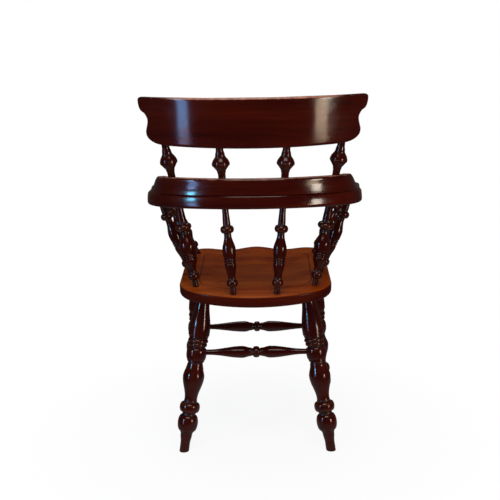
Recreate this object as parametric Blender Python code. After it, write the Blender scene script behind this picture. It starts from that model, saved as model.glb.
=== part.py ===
"""Comb-back captain's chair of turned and sawn hardwood, at its real size in metres.

The chair stands on z = 0 and faces -Y. Left and right are the sitter's, so left is +X.
Heights are above the floor. Places in y are measured from the middle of the seat, and at
the end everything is moved together so that the origin lies under the middle of the chair.
"""

import math

import bmesh
import bpy
from mathutils import Matrix, Vector

# Fits
FIT_GAP = 0.0003             # clearance round every tenon and under every glued face
TENON_DEPTH = 0.016          # how deep a spindle or a stretcher enters its socket
LEG_TENON_DEPTH = 0.022      # how deep a leg enters the seat
STRAIGHT_NECK = 0.006        # straight length of a tenon outside its socket

# The seat
SEAT_WIDTH = 0.390
SEAT_DEPTH = 0.420
SEAT_BACK_HEIGHT = 0.420     # top face at the rear edge
SEAT_RISE = 0.045            # how much higher the front edge lies
SEAT_THICKNESS = 0.030
SEAT_REAR_RADIUS = 0.300     # plan radius of the rear edge
SEAT_REAR_CORNER = 0.090
SEAT_FRONT_RADIUS = 0.900    # plan radius of the front edge
SEAT_FRONT_CORNER = 0.045
SEAT_TOP_ROUND = 0.006
SEAT_BOTTOM_ROUND = 0.009
DISH_DEPTH = 0.009           # hollow of the saddle below the flat rim
SCOOP_DEPTH = 0.008          # hollow on each side of the pommel at the front edge
REAR_BAND = 0.066            # flat band behind the hollow, which holds the spindles
SIDE_BAND = 0.042            # flat band along each side of the hollow
SEAT_SIDE = SEAT_WIDTH / 2   # x of its left edge, and y of its rear and front edges
SEAT_REAR = SEAT_DEPTH / 2
SEAT_FRONT = -SEAT_REAR

# Legs: how far in from the seat's side, and from its rear or front edge, their axes meet
# the floor and enter the underside of the seat
REAR_FOOT_INSET = (0.005, 0.0435)
REAR_HEAD_INSET = (0.0625, 0.107)
FRONT_FOOT_INSET = (-0.002, 0.0495)
FRONT_HEAD_INSET = (0.038, 0.099)
REAR_STRETCHER_HEIGHT = 0.253
FRONT_STRETCHER_HEIGHT = 0.242
FOOT_RADIUS = 0.0123
BALL_RADIUS = 0.0262
BALUSTER_RADIUS = 0.0276
BULB_RADIUS = 0.0262
LEG_HEAD_RADIUS = 0.0165
SHANK_RADIUS = 0.0155         # between the foot and the ball
LEG_GROOVE_RADIUS = 0.0172    # above the ball
RING_RADIUS = 0.0260
RING_EDGE_RADIUS = 0.0245     # where a ring's straight flanks end
LEG_WAIST_RADIUS = 0.0163     # below the baluster
LEG_NECK_RADIUS = 0.0200      # above and below the stretchers' bulb
SHOULDER_RADIUS = 0.0275      # from which the leg tapers up to the seat
BULB_EDGE_RADIUS = 0.0244
STRETCHER_SOCKET_DEPTH = 0.013

# Stretchers
STRETCHER_END_RADIUS = 0.0070
STRETCHER_SWELL_RADIUS = 0.0154
STRETCHER_BEAD_RADIUS = 0.0145
STRETCHER_GROOVE_RADIUS = 0.0100
STRETCHER_BEAD_LENGTH = 0.013
STRETCHER_GROOVE_LENGTH = 0.002
STRETCHER_SWELL_OFFSET = 0.036   # from the middle of the stretcher to the thickest point

# Bow: the flat horseshoe of two arms that meet behind the sitter
BOW_OVERHANG = 0.0045        # of its outer edge behind the seat, at the middle of the back
BOW_FRONT_INSET = 0.010      # of the arms' front ends behind the seat's front edge
BOW_HEIGHT = 0.6355          # underside at the back
BOW_THICKNESS = 0.0335
BOW_FALL = 0.0175            # how much lower the front ends lie
BOW_HALF_WIDTH = 0.2788      # outer edge, where the sides begin to run forward
BOW_BACK_RADIUS = 0.390
BOW_CORNER_RADIUS = 0.165
BOW_FLARE = math.radians(3.6)  # how far the sides open towards the front
ARM_WIDTH = 0.055
HAND_WIDTH = 0.072
HAND_LENGTH = 0.120          # over which the arm widens into the hand rest
ARM_ROUND = 0.007

# Cresting: the raised rest glued on the bow
CREST_HALF_LENGTH = 0.392    # along the bow's outer edge
CREST_END_SLOPE = 0.105      # length over which each end runs down
CREST_HEIGHT = 0.039
CREST_END_HEIGHT = 0.004
CREST_END_RISE = 0.003       # how much higher its ends stand than its middle
CREST_BASE_WIDTH = 0.040
CREST_TOP_WIDTH = 0.030
CREST_SETBACK = 0.001        # from the bow's outer edge behind the sitter
CREST_END_SETBACK = 0.0115   # from that edge at the ends
CREST_END_LEAN = 0.0165      # how much further in its top lies there
CREST_COVE = 0.004           # depth of the hollow in its back
CREST_ROUND = 0.008          # rounding of its top edges

# Comb
COMB_OVERHANG = 0.0045       # of its outer face behind the bow, at its lower edge
COMB_BOTTOM = 0.7860         # height of its lower edge towards the ends
COMB_HEIGHT = 0.1160
COMB_THICKNESS = 0.022
COMB_RADIUS = 0.450          # plan radius of its outer face
COMB_LEAN = math.radians(8)
COMB_BELLY = 0.007           # how much deeper the lower edge lies at the middle
COMB_DIP = 0.006             # how much lower the upper edge lies at the middle
COMB_ROUND = 0.005
COMB_HORN = 0.301            # half length along the outer face, at the upper corners
COMB_WAIST_INSET = 0.029     # how much less it reaches at the hollow of each end,
COMB_LOBE_INSET = 0.0225     # at the round below it,
COMB_FOOT_INSET = 0.071      # and where the lower edge turns up

# Lower spindles: how far in from the side, and from the rear or front edge, each foot
# stands on the seat and each head in the bow. The centre ones are spaced from the middle.
CENTRE_FOOT_SPACING = 0.0535
CENTRE_HEAD_SPACING = 0.0695
CENTRE_FOOT_INSET = 0.0225
CENTRE_HEAD_INSET = 0.0345
CORNER_FOOT_INSET = (0.045, 0.081)
CORNER_HEAD_INSET = (0.0928, 0.0815)
SIDE_FOOT_INSET = (0.023, 0.188)
SIDE_HEAD_INSET = (0.0348, 0.1925)
SUPPORT_FOOT_INSET = (0.0295, 0.0665)
SUPPORT_HEAD_INSET = (0.0258, 0.0615)
SPINDLE_FOOT_RADIUS = 0.0068
THIN_HEAD_RADIUS = 0.0080
THICK_HEAD_RADIUS = 0.0100
SPINDLE_NECK_RADIUS = 0.0090  # beside each bead
SPINDLE_LOW_BEAD = 0.028      # middle of the lower bead above the seat
CENTRE_TOP_BEAD = 0.051       # middle of the upper bead below the bow, on each kind
CORNER_TOP_BEAD = 0.051
SIDE_TOP_BEAD = 0.037
SUPPORT_TOP_BEAD = 0.040
SPINDLE_BEAD_LENGTH = 0.017
THIN_SPINDLE_RADIUS = 0.0165
THICK_SPINDLE_RADIUS = 0.0205

# Upper spindles, from cresting to comb: distance along the bow's edge, and x in the comb
INNER_UPPER = (0.0785, 0.0790)
OUTER_UPPER_ALONG = 0.2230
OUTER_UPPER_INSET = 0.089    # from the comb's upper corner
UPPER_SPINDLE_RADIUS = 0.0215
UPPER_TENON_RADIUS = 0.0090
UPPER_COLLAR_RADIUS = 0.0116  # on both sides of the ring

# Fineness of the solids
LEG_SIDES = 12
SPINDLE_SIDES = 10
EASE_STEPS = 2
CORNER_STEPS = 5
BOW_STEPS = 20
COMB_STEPS = 8
MERGE_DISTANCE = 0.00001

# Places (x, y) that follow from the sizes above, on the left side
SEAT_TILT = math.asin(SEAT_RISE / SEAT_DEPTH)
REAR_FOOT = (SEAT_SIDE - REAR_FOOT_INSET[0], SEAT_REAR - REAR_FOOT_INSET[1])
REAR_HEAD = (SEAT_SIDE - REAR_HEAD_INSET[0], SEAT_REAR - REAR_HEAD_INSET[1])
FRONT_FOOT = (SEAT_SIDE - FRONT_FOOT_INSET[0], SEAT_FRONT + FRONT_FOOT_INSET[1])
FRONT_HEAD = (SEAT_SIDE - FRONT_HEAD_INSET[0], SEAT_FRONT + FRONT_HEAD_INSET[1])
BOW_BACK = SEAT_REAR + BOW_OVERHANG
BOW_FRONT = SEAT_FRONT + BOW_FRONT_INSET
BOW_TILT = math.atan2(BOW_FALL, BOW_BACK - BOW_FRONT)
COMB_BACK = BOW_BACK + COMB_OVERHANG
COMB_WAIST = COMB_HORN - COMB_WAIST_INSET
COMB_LOBE = COMB_HORN - COMB_LOBE_INSET
COMB_FOOT = COMB_HORN - COMB_FOOT_INSET
CENTRE_SPINDLE = (
    (CENTRE_FOOT_SPACING, SEAT_REAR - CENTRE_FOOT_INSET),
    (CENTRE_HEAD_SPACING, BOW_BACK - CENTRE_HEAD_INSET),
)
CORNER_SPINDLE = (
    (SEAT_SIDE - CORNER_FOOT_INSET[0], SEAT_REAR - CORNER_FOOT_INSET[1]),
    (BOW_HALF_WIDTH - CORNER_HEAD_INSET[0], BOW_BACK - CORNER_HEAD_INSET[1]),
)
SIDE_SPINDLE = (
    (SEAT_SIDE - SIDE_FOOT_INSET[0], SEAT_REAR - SIDE_FOOT_INSET[1]),
    (BOW_HALF_WIDTH - SIDE_HEAD_INSET[0], BOW_BACK - SIDE_HEAD_INSET[1]),
)
ARM_SUPPORT = (
    (SEAT_SIDE - SUPPORT_FOOT_INSET[0], SEAT_FRONT + SUPPORT_FOOT_INSET[1]),
    (BOW_HALF_WIDTH - SUPPORT_HEAD_INSET[0], BOW_FRONT + SUPPORT_HEAD_INSET[1]),
)
OUTER_UPPER = (OUTER_UPPER_ALONG, COMB_HORN - OUTER_UPPER_INSET)

WOODS = {
    "dark_lacquer": ((0.045, 0.009, 0.004, 1.0), 0.22),
    "worn_seat": ((0.160, 0.035, 0.009, 1.0), 0.32),
    "arm_lacquer": ((0.060, 0.014, 0.006, 1.0), 0.25),
}


def clear_scene():
    for old in list(bpy.data.objects):
        bpy.data.objects.remove(old, do_unlink=True)


def wood(name, finish):
    """A Principled material of its own for one piece."""
    colour, roughness = WOODS[finish]
    material = bpy.data.materials.new(name)
    material.use_nodes = True
    shader = material.node_tree.nodes["Principled BSDF"]
    shader.inputs["Base Color"].default_value = colour
    shader.inputs["Roughness"].default_value = roughness
    shader.inputs["Metallic"].default_value = 0.0
    material.diffuse_color = colour
    return material


def add_object(name, bm, finish, smooth_angle=40):
    """Turn a bmesh into a named object with its own wood, facing outwards."""
    bmesh.ops.remove_doubles(bm, verts=bm.verts[:], dist=MERGE_DISTANCE)
    bmesh.ops.recalc_face_normals(bm, faces=bm.faces[:])
    mesh = bpy.data.meshes.new(name)
    bm.to_mesh(mesh)
    bm.free()
    mesh.shade_smooth()
    mesh.set_sharp_from_angle(angle=math.radians(smooth_angle))
    piece = bpy.data.objects.new(name, mesh)
    bpy.context.scene.collection.objects.link(piece)
    mesh.materials.append(wood(name, finish))
    return piece


def round_edges(piece, width, segments, angle=50):
    """Round a piece's sharp edges with a Bevel modifier."""
    bevel = piece.modifiers.new("rounded_edges", "BEVEL")
    bevel.width = width
    bevel.segments = segments
    bevel.limit_method = "ANGLE"
    bevel.angle_limit = math.radians(angle)


def axis_matrix(start, end):
    """Frame with its origin at start and its z axis pointing at end."""
    direction = (end - start).normalized()
    return Matrix.Translation(start) @ direction.to_track_quat("Z", "X").to_matrix().to_4x4()


# Turned work

def turning_points(stations, length):
    """Profile of a turning as (distance, radius) pairs.

    Each station is (fraction of the length, radius, way), where way is how the profile
    arrives there: line, ease for a flowing curve, or bead for a round swelling.
    """
    points = [(stations[0][0] * length, stations[0][1])]
    for fraction, radius, way in stations[1:]:
        from_z, from_radius = points[-1]
        to_z = fraction * length
        if way == "line":
            points.append((to_z, radius))
            continue
        for step in range(1, EASE_STEPS + 1):
            share = step / EASE_STEPS
            if way == "ease":
                blend = (1 - math.cos(math.pi * share)) / 2
            elif radius > from_radius:
                blend = math.sin(math.pi * share / 2)
            else:
                blend = 1 - math.cos(math.pi * share / 2)
            points.append((from_z + (to_z - from_z) * share, from_radius + (radius - from_radius) * blend))
    return points


def spin_profile(points, sides):
    """Closed body of revolution about z from (distance, radius) pairs."""
    bm = bmesh.new()
    rim = [bm.verts.new((radius, 0, z)) for z, radius in points]
    edges = [bm.edges.new(pair) for pair in zip(rim, rim[1:])]
    bmesh.ops.spin(bm, geom=rim + edges, cent=(0, 0, 0), axis=(0, 0, 1), angle=2 * math.pi,
                   steps=sides, use_merge=True)
    open_edges = [edge for edge in bm.edges if edge.is_boundary]
    bmesh.ops.holes_fill(bm, edges=open_edges, sides=0)
    return bm


def turned_piece(name, start, end, stations, sides, finish, tenons):
    """A turning from start to end, the points where it enters its neighbours.

    tenons gives how far it runs on beyond each of the two points.
    """
    length = (end - start).length
    points = turning_points(stations, length)
    points.insert(0, (-tenons[0], stations[0][1]))
    points.append((length + tenons[1], stations[-1][1]))
    bm = spin_profile(points, sides)
    piece = add_object(name, bm, finish, smooth_angle=60)
    piece.matrix_world = axis_matrix(start, end)
    return piece


def socket_cutter(name, start, end, radius, depth, sides, overrun=STRAIGHT_NECK):
    """Cutter for the socket of a turning that runs from start to end, at its end."""
    length = (end - start).length
    points = [(length - overrun, radius + FIT_GAP), (length + depth + FIT_GAP, radius + FIT_GAP)]
    cutter = add_object(name, spin_profile(points, sides), "dark_lacquer")
    cutter.matrix_world = axis_matrix(start, end)
    cutter.hide_render = True
    cutter.display_type = "WIRE"
    return cutter


def cut_sockets(piece, cutters):
    for cutter in cutters:
        cut = piece.modifiers.new(cutter.name, "BOOLEAN")
        cut.operation = "DIFFERENCE"
        cut.solver = "EXACT"
        cut.object = cutter


# Places that the pieces share

def smooth(value):
    value = min(max(value, 0), 1)
    return value * value * (3 - 2 * value)


def mirrored(place, side):
    """The (x, y) place on the sitter's left for side 1, or on the right for side -1."""
    return (place[0] * side, place[1])


def seat_top(y):
    """Height of the seat's flat rim."""
    return SEAT_BACK_HEIGHT + (SEAT_REAR - y) * math.tan(SEAT_TILT)


def seat_underside(y):
    return seat_top(y) - SEAT_THICKNESS / math.cos(SEAT_TILT)


def bow_underside(y):
    return BOW_HEIGHT - (BOW_BACK - y) * math.tan(BOW_TILT)


def bow_turn():
    """Angle of the bow's back arc on each side of the middle."""
    reach = (BOW_HALF_WIDTH - BOW_CORNER_RADIUS) / (BOW_BACK_RADIUS - BOW_CORNER_RADIUS)
    return math.asin(reach)


def bow_edge(distance):
    """Point (x, y) on the bow's outer edge at a distance from the back's middle on the
    left side, and the outward direction there, both from the middle of the edge."""
    turn = bow_turn()
    back_length = BOW_BACK_RADIUS * turn
    end_angle = math.pi / 2 - BOW_FLARE
    corner_length = BOW_CORNER_RADIUS * (end_angle - turn)
    if distance <= back_length:
        angle = distance / BOW_BACK_RADIUS
        centre = Vector((0, -BOW_BACK_RADIUS))
        outward = Vector((math.sin(angle), math.cos(angle)))
        return centre + outward * BOW_BACK_RADIUS, outward
    inner = BOW_BACK_RADIUS - BOW_CORNER_RADIUS
    centre = Vector((inner * math.sin(turn), -BOW_BACK_RADIUS + inner * math.cos(turn)))
    angle = min(turn + (distance - back_length) / BOW_CORNER_RADIUS, end_angle)
    outward = Vector((math.sin(angle), math.cos(angle)))
    point = centre + outward * BOW_CORNER_RADIUS
    ahead = max(distance - back_length - corner_length, 0)
    forward = Vector((outward.y, -outward.x))
    return point + forward * ahead, outward


def bow_length():
    """Length of the bow's outer edge from the back's middle to the front of the arm."""
    corner_end = BOW_BACK_RADIUS * bow_turn()
    corner_end += BOW_CORNER_RADIUS * (math.pi / 2 - BOW_FLARE - bow_turn())
    run = bow_edge(corner_end)[0].y - (BOW_FRONT - BOW_BACK)
    return corner_end + run / math.cos(BOW_FLARE)


def bow_matrix(height):
    """Frame of the bow: its origin at the back edge's middle, at a height in its thickness."""
    tilt = Matrix.Rotation(BOW_TILT, 4, "X")
    place = Matrix.Translation((0, BOW_BACK, BOW_HEIGHT))
    return place @ tilt @ Matrix.Translation((0, 0, height))


def crest_setback(distance):
    """Inset of the cresting's outer face at its foot, and how much further in its top lies."""
    share = smooth(2 * abs(distance) / CREST_HALF_LENGTH - 1)
    return CREST_SETBACK + (CREST_END_SETBACK - CREST_SETBACK) * share, CREST_END_LEAN * share


def crest_height_at(distance):
    share = smooth((CREST_HALF_LENGTH - abs(distance)) / CREST_END_SLOPE)
    full = CREST_HEIGHT + CREST_END_RISE * smooth(abs(distance) / CREST_HALF_LENGTH)
    return CREST_END_HEIGHT + (full - CREST_END_HEIGHT) * share


def crest_head(distance, side):
    """Where an upper spindle stands on the cresting's top."""
    point, outward = bow_edge(distance)
    back, lean = crest_setback(distance)
    inset = back + lean * 0.75 + CREST_TOP_WIDTH / 2
    place = point - outward * inset
    height = BOW_THICKNESS + FIT_GAP + crest_height_at(distance)
    return bow_matrix(height) @ Vector((place.x * side, place.y, 0))


def comb_matrix():
    return Matrix.Translation((0, COMB_BACK, COMB_BOTTOM))


def comb_lower_edge(along):
    """Height of the comb's lower edge in its own frame."""
    return -COMB_BELLY * max(0, 1 - (along / COMB_FOOT) ** 2)


def comb_upper_edge(along):
    return COMB_HEIGHT - COMB_DIP * max(0, 1 - (along / COMB_HORN) ** 2)


def comb_point(along, height, depth):
    """Point of the comb in its own frame, depth in from the outer face, which leans back."""
    angle = along / COMB_RADIUS
    radius = COMB_RADIUS - depth
    back = radius * math.cos(angle) - COMB_RADIUS + height * math.tan(COMB_LEAN)
    return Vector((radius * math.sin(angle), back, height))


def comb_socket(x, side):
    """Where an upper spindle enters the comb's lower edge."""
    middle = COMB_THICKNESS / 2
    along = COMB_RADIUS * math.asin(x / (COMB_RADIUS - middle))
    return comb_matrix() @ comb_point(along * side, comb_lower_edge(along), middle)


# The seat

def arc_points(centre, radius, from_angle, to_angle, steps):
    """Points of an arc, with angles measured clockwise from +Y."""
    points = []
    for step in range(steps + 1):
        angle = from_angle + (to_angle - from_angle) * step / steps
        points.append((centre[0] + radius * math.sin(angle), centre[1] + radius * math.cos(angle)))
    return points


def seat_half_outline():
    """Left half of the seat's plan, from the rear edge's middle to the front edge's."""
    half = SEAT_WIDTH / 2
    rear_turn = math.asin((half - SEAT_REAR_CORNER) / (SEAT_REAR_RADIUS - SEAT_REAR_CORNER))
    front_turn = math.asin((half - SEAT_FRONT_CORNER) / (SEAT_FRONT_RADIUS - SEAT_FRONT_CORNER))
    rear_centre = (0, SEAT_REAR - SEAT_REAR_RADIUS)
    front_centre = (0, SEAT_FRONT_RADIUS - SEAT_REAR)
    rear_reach = SEAT_REAR_RADIUS - SEAT_REAR_CORNER
    front_reach = SEAT_FRONT_RADIUS - SEAT_FRONT_CORNER
    rear_corner = (half - SEAT_REAR_CORNER, rear_centre[1] + rear_reach * math.cos(rear_turn))
    front_corner = (half - SEAT_FRONT_CORNER, front_centre[1] - front_reach * math.cos(front_turn))
    points = arc_points(rear_centre, SEAT_REAR_RADIUS, 0, rear_turn, CORNER_STEPS)[:-1]
    points += arc_points(rear_corner, SEAT_REAR_CORNER, rear_turn, math.pi / 2, CORNER_STEPS)
    side_top, side_bottom = rear_corner[1], front_corner[1]
    for step in range(1, CORNER_STEPS):
        points.append((half, side_top + (side_bottom - side_top) * step / CORNER_STEPS))
    points += arc_points(front_corner, SEAT_FRONT_CORNER, math.pi / 2, math.pi - front_turn, CORNER_STEPS)[:-1]
    points += arc_points(front_centre, SEAT_FRONT_RADIUS, math.pi - front_turn, math.pi, CORNER_STEPS)
    return points


def seat_outline():
    half = seat_half_outline()
    return half + [(-x, y) for x, y in reversed(half[1:-1])]


def dish(x, y):
    """Depth of the saddle's hollow below the rim."""
    half = SEAT_WIDTH / 2 - SIDE_BAND
    rear = SEAT_REAR - REAR_BAND
    across = abs(x) / half
    behind = smooth((rear - y) / REAR_BAND)
    forward = smooth((rear - y) / (rear + SEAT_REAR))
    bowl = smooth((1 - across) * 2)
    scoop = max(0, math.sin(math.pi * min(across, 1))) ** 2
    return behind * ((1 - forward) * DISH_DEPTH * bowl + forward * SCOOP_DEPTH * scoop)


def inset_outline(outline, amount):
    """The outline moved inwards by an amount."""
    count = len(outline)
    moved = []
    for index, (x, y) in enumerate(outline):
        before = Vector(outline[index - 1])
        after = Vector(outline[(index + 1) % count])
        along = (after - before).normalized()
        moved.append((x + along.y * amount, y - along.x * amount))
    return moved


def seat_rings():
    """Rings of the seat from the middle of its underside up to the middle of its top."""
    outline = seat_outline()
    quarter = math.pi / 2
    rings = [[(x, y, -SEAT_THICKNESS) for x, y in inset_outline(outline, SEAT_BOTTOM_ROUND)]]
    for step in (1, 2):
        angle = quarter * step / 2
        inset = SEAT_BOTTOM_ROUND * (1 - math.sin(angle))
        z = -SEAT_THICKNESS + SEAT_BOTTOM_ROUND * (1 - math.cos(angle))
        rings.append([(x, y, z) for x, y in inset_outline(outline, inset)])
    for step in (0, 1, 2):
        angle = quarter * step / 2
        inset = SEAT_TOP_ROUND * (1 - math.cos(angle))
        drop = SEAT_TOP_ROUND * (1 - math.sin(angle))
        ring = inset_outline(outline, inset)
        rings.append([(x, y, -drop - dish(x, y)) for x, y in ring])
    top = inset_outline(outline, SEAT_TOP_ROUND)
    for scale in (0.90, 0.80, 0.70, 0.58, 0.44, 0.28, 0.12):
        rings.append([(x * scale, y * scale, -dish(x * scale, y * scale)) for x, y in top])
    return rings


def make_seat():
    bm = bmesh.new()
    loops = []
    for ring in seat_rings():
        verts = [bm.verts.new(point) for point in ring]
        loops.append([bm.edges.new((a, b)) for a, b in zip(verts, verts[1:] + verts[:1])])
    for lower, upper in zip(loops, loops[1:]):
        bmesh.ops.bridge_loops(bm, edges=lower + upper)
    open_edges = [edge for edge in bm.edges if edge.is_boundary]
    bmesh.ops.holes_fill(bm, edges=open_edges, sides=0)
    seat = add_object("seat", bm, "worn_seat")
    place = Matrix.Translation((0, SEAT_REAR, SEAT_BACK_HEIGHT))
    tilt = Matrix.Rotation(-SEAT_TILT, 4, "X")
    seat.matrix_world = place @ tilt @ Matrix.Translation((0, -SEAT_REAR, 0))
    return seat


# Legs

def leg_stations(stretcher_share):
    """Turning of a leg from foot to seat; the stretchers' bulb lies at stretcher_share."""
    lower = [
        (0.000, FOOT_RADIUS, "line"),
        (0.085, FOOT_RADIUS, "line"),
        (0.175, SHANK_RADIUS, "ease"),
        (0.289, BALL_RADIUS, "bead"),
        (0.375, LEG_GROOVE_RADIUS, "ease"),
        (0.395, LEG_GROOVE_RADIUS, "line"),
        (0.415, RING_EDGE_RADIUS, "line"),
        (0.447, RING_RADIUS, "bead"),
        (0.478, RING_EDGE_RADIUS, "line"),
        (0.535, LEG_WAIST_RADIUS, "ease"),
        (0.755, BALUSTER_RADIUS, "ease"),
        (0.905, LEG_NECK_RADIUS, "ease"),
        (0.925, BULB_EDGE_RADIUS, "line"),
        (1.000, BULB_RADIUS, "bead"),
    ]
    upper = [
        (0.070, BULB_EDGE_RADIUS, "line"),
        (0.090, LEG_NECK_RADIUS, "line"),
        (0.115, LEG_NECK_RADIUS, "line"),
        (0.135, RING_EDGE_RADIUS, "line"),
        (0.190, RING_RADIUS, "bead"),
        (0.245, RING_EDGE_RADIUS, "line"),
        (0.370, SHOULDER_RADIUS, "ease"),
        (0.900, LEG_HEAD_RADIUS, "ease"),
        (1.000, LEG_HEAD_RADIUS, "line"),
    ]
    stations = [(share * stretcher_share, radius, way) for share, radius, way in lower]
    rest = 1 - stretcher_share
    stations += [(stretcher_share + share * rest, radius, way) for share, radius, way in upper]
    return stations


def leg_line(foot, head, side):
    """Ends of a leg's axis, on the floor and at the seat's underside."""
    start = Vector((foot[0] * side, foot[1], 0))
    end = Vector((head[0] * side, head[1], seat_underside(head[1])))
    return start, end


def leg_axis_at(foot, head, side, height):
    start, end = leg_line(foot, head, side)
    return start.lerp(end, height / end.z)


def cut_flat_foot(leg):
    """Cut the leaning leg level with the floor."""
    bm = bmesh.new()
    bm.from_mesh(leg.data)
    bm.transform(leg.matrix_world)
    bmesh.ops.bisect_plane(bm, geom=bm.verts[:] + bm.edges[:] + bm.faces[:], plane_co=(0, 0, 0),
                           plane_no=(0, 0, -1), clear_outer=True)
    bmesh.ops.remove_doubles(bm, verts=bm.verts[:], dist=MERGE_DISTANCE)
    open_edges = [edge for edge in bm.edges if edge.is_boundary]
    bmesh.ops.holes_fill(bm, edges=open_edges, sides=0)
    bm.transform(leg.matrix_world.inverted())
    bm.to_mesh(leg.data)
    bm.free()


def make_leg(name, foot, head, side, stretcher_height):
    start, end = leg_line(foot, head, side)
    stations = leg_stations(stretcher_height / end.z)
    tenons = (FOOT_RADIUS, LEG_TENON_DEPTH)
    leg = turned_piece(name, start, end, stations, LEG_SIDES, "dark_lacquer", tenons)
    cut_flat_foot(leg)
    cutter = socket_cutter(name + "_socket", start, end, LEG_HEAD_RADIUS, LEG_TENON_DEPTH, LEG_SIDES)
    return leg, cutter


# Stretchers

def stretcher_stations(length):
    """Turning of a stretcher, the same from both ends to the bead in its middle."""
    bead = STRETCHER_BEAD_LENGTH / 2 / length
    groove = bead + STRETCHER_GROOVE_LENGTH / length
    swell = STRETCHER_SWELL_OFFSET / length
    neck = STRAIGHT_NECK / length
    first = [
        (0, STRETCHER_END_RADIUS, "line"),
        (neck, STRETCHER_END_RADIUS, "line"),
        (0.5 - swell, STRETCHER_SWELL_RADIUS, "ease"),
        (0.5 - groove, STRETCHER_GROOVE_RADIUS, "ease"),
        (0.5 - bead, STRETCHER_GROOVE_RADIUS, "line"),
        (0.5, STRETCHER_BEAD_RADIUS, "bead"),
    ]
    second = [
        (0.5 + bead, STRETCHER_GROOVE_RADIUS, "bead"),
        (0.5 + groove, STRETCHER_GROOVE_RADIUS, "line"),
        (0.5 + swell, STRETCHER_SWELL_RADIUS, "ease"),
        (1 - neck, STRETCHER_END_RADIUS, "ease"),
        (1, STRETCHER_END_RADIUS, "line"),
    ]
    return first + second


def make_stretcher(name, start_axis, end_axis):
    """A stretcher between two legs' axes, with the sockets it needs in both."""
    direction = (end_axis - start_axis).normalized()
    start = start_axis + direction * BULB_RADIUS
    end = end_axis - direction * BULB_RADIUS
    stations = stretcher_stations((end - start).length)
    tenons = (STRETCHER_SOCKET_DEPTH, STRETCHER_SOCKET_DEPTH)
    piece = turned_piece(name, start, end, stations, SPINDLE_SIDES, "dark_lacquer", tenons)
    sockets = []
    for word, near, far in (("first", end, start), ("second", start, end)):
        cutter = socket_cutter(name + "_" + word, near, far, STRETCHER_END_RADIUS,
                               STRETCHER_SOCKET_DEPTH, SPINDLE_SIDES)
        sockets.append(cutter)
    return piece, sockets


# Bow and cresting

def arm_width_at(distance, length):
    """The arm widens into the hand rest over its last stretch."""
    share = smooth((distance - (length - HAND_LENGTH)) / (HAND_LENGTH * 0.7))
    return ARM_WIDTH + (HAND_WIDTH - ARM_WIDTH) * share


def arm_outline(side):
    """Plan of one arm in the bow's frame: out along its outer edge, back along its inner."""
    length = bow_length()
    body = length - HAND_WIDTH / 2
    outer, inner = [], []
    for step in range(BOW_STEPS + 1):
        distance = body * step / BOW_STEPS
        point, outward = bow_edge(distance)
        width = arm_width_at(distance, length)
        spread = (width - ARM_WIDTH) / 3
        outer.append(point + outward * spread)
        inner.append(point - outward * (width - spread))
    centre = (outer[-1] + inner[-1]) / 2
    radius = (outer[-1] - inner[-1]).length / 2
    outward = (outer[-1] - centre) / radius
    forward = Vector((outward.y, -outward.x))
    tip = []
    for step in range(1, 2 * CORNER_STEPS):
        angle = math.pi * step / (2 * CORNER_STEPS)
        tip.append(centre + outward * radius * math.cos(angle) + forward * radius * math.sin(angle))
    points = outer + tip + list(reversed(inner))
    points[0] = Vector((FIT_GAP / 2, points[0].y))
    points[-1] = Vector((FIT_GAP / 2, points[-1].y))
    return [Vector((point.x * side, point.y)) for point in points]


def make_arm(name, side):
    bm = bmesh.new()
    verts = [bm.verts.new((point.x, point.y, 0)) for point in arm_outline(side)]
    face = bm.faces.new(verts)
    grown = bmesh.ops.extrude_face_region(bm, geom=[face])
    lifted = [item for item in grown["geom"] if isinstance(item, bmesh.types.BMVert)]
    bmesh.ops.translate(bm, verts=lifted, vec=(0, 0, BOW_THICKNESS))
    arm = add_object(name, bm, "arm_lacquer")
    arm.matrix_world = bow_matrix(0)
    round_edges(arm, ARM_ROUND, 2)
    return arm


def crest_section(height, back, lean):
    """Section of the cresting as (inset from the bow's edge, height) pairs, outer side first."""
    share = height / CREST_HEIGHT
    lean *= share
    top = back + lean
    top_inner = back + lean / 2 + CREST_TOP_WIDTH
    inner = back + CREST_BASE_WIDTH
    return [
        (back, 0),
        (back + lean * 0.35 + CREST_COVE * share, height * 0.35),
        (back + lean * 0.65 + CREST_COVE * share * 0.4, height * 0.65),
        (back + lean * 0.82, height * 0.82),
        (top + CREST_ROUND * 0.4, height * 0.95),
        (top + CREST_ROUND, height),
        (top_inner - CREST_ROUND * 0.75, height),
        (top_inner, height * 0.9),
        (top_inner + (inner - top_inner) * 0.35, height * 0.45),
        (inner, 0),
    ]


def make_cresting():
    bm = bmesh.new()
    rings = []
    for step in range(-BOW_STEPS, BOW_STEPS + 1):
        distance = CREST_HALF_LENGTH * step / BOW_STEPS
        side = -1 if distance < 0 else 1
        point, outward = bow_edge(abs(distance))
        ring = []
        for inset, z in crest_section(crest_height_at(distance), *crest_setback(distance)):
            place = point - outward * inset
            ring.append(bm.verts.new((place.x * side, place.y, z)))
        rings.append(ring)
    for before, after in zip(rings, rings[1:]):
        for index in range(len(before)):
            following = (index + 1) % len(before)
            bm.faces.new((before[index], before[following], after[following], after[index]))
    bm.faces.new(rings[0])
    bm.faces.new(rings[-1])
    crest = add_object("bow_cresting", bm, "dark_lacquer")
    crest.matrix_world = bow_matrix(BOW_THICKNESS + FIT_GAP)
    return crest


# Comb

def between(low, high, share):
    return low + (high - low) * share


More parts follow.
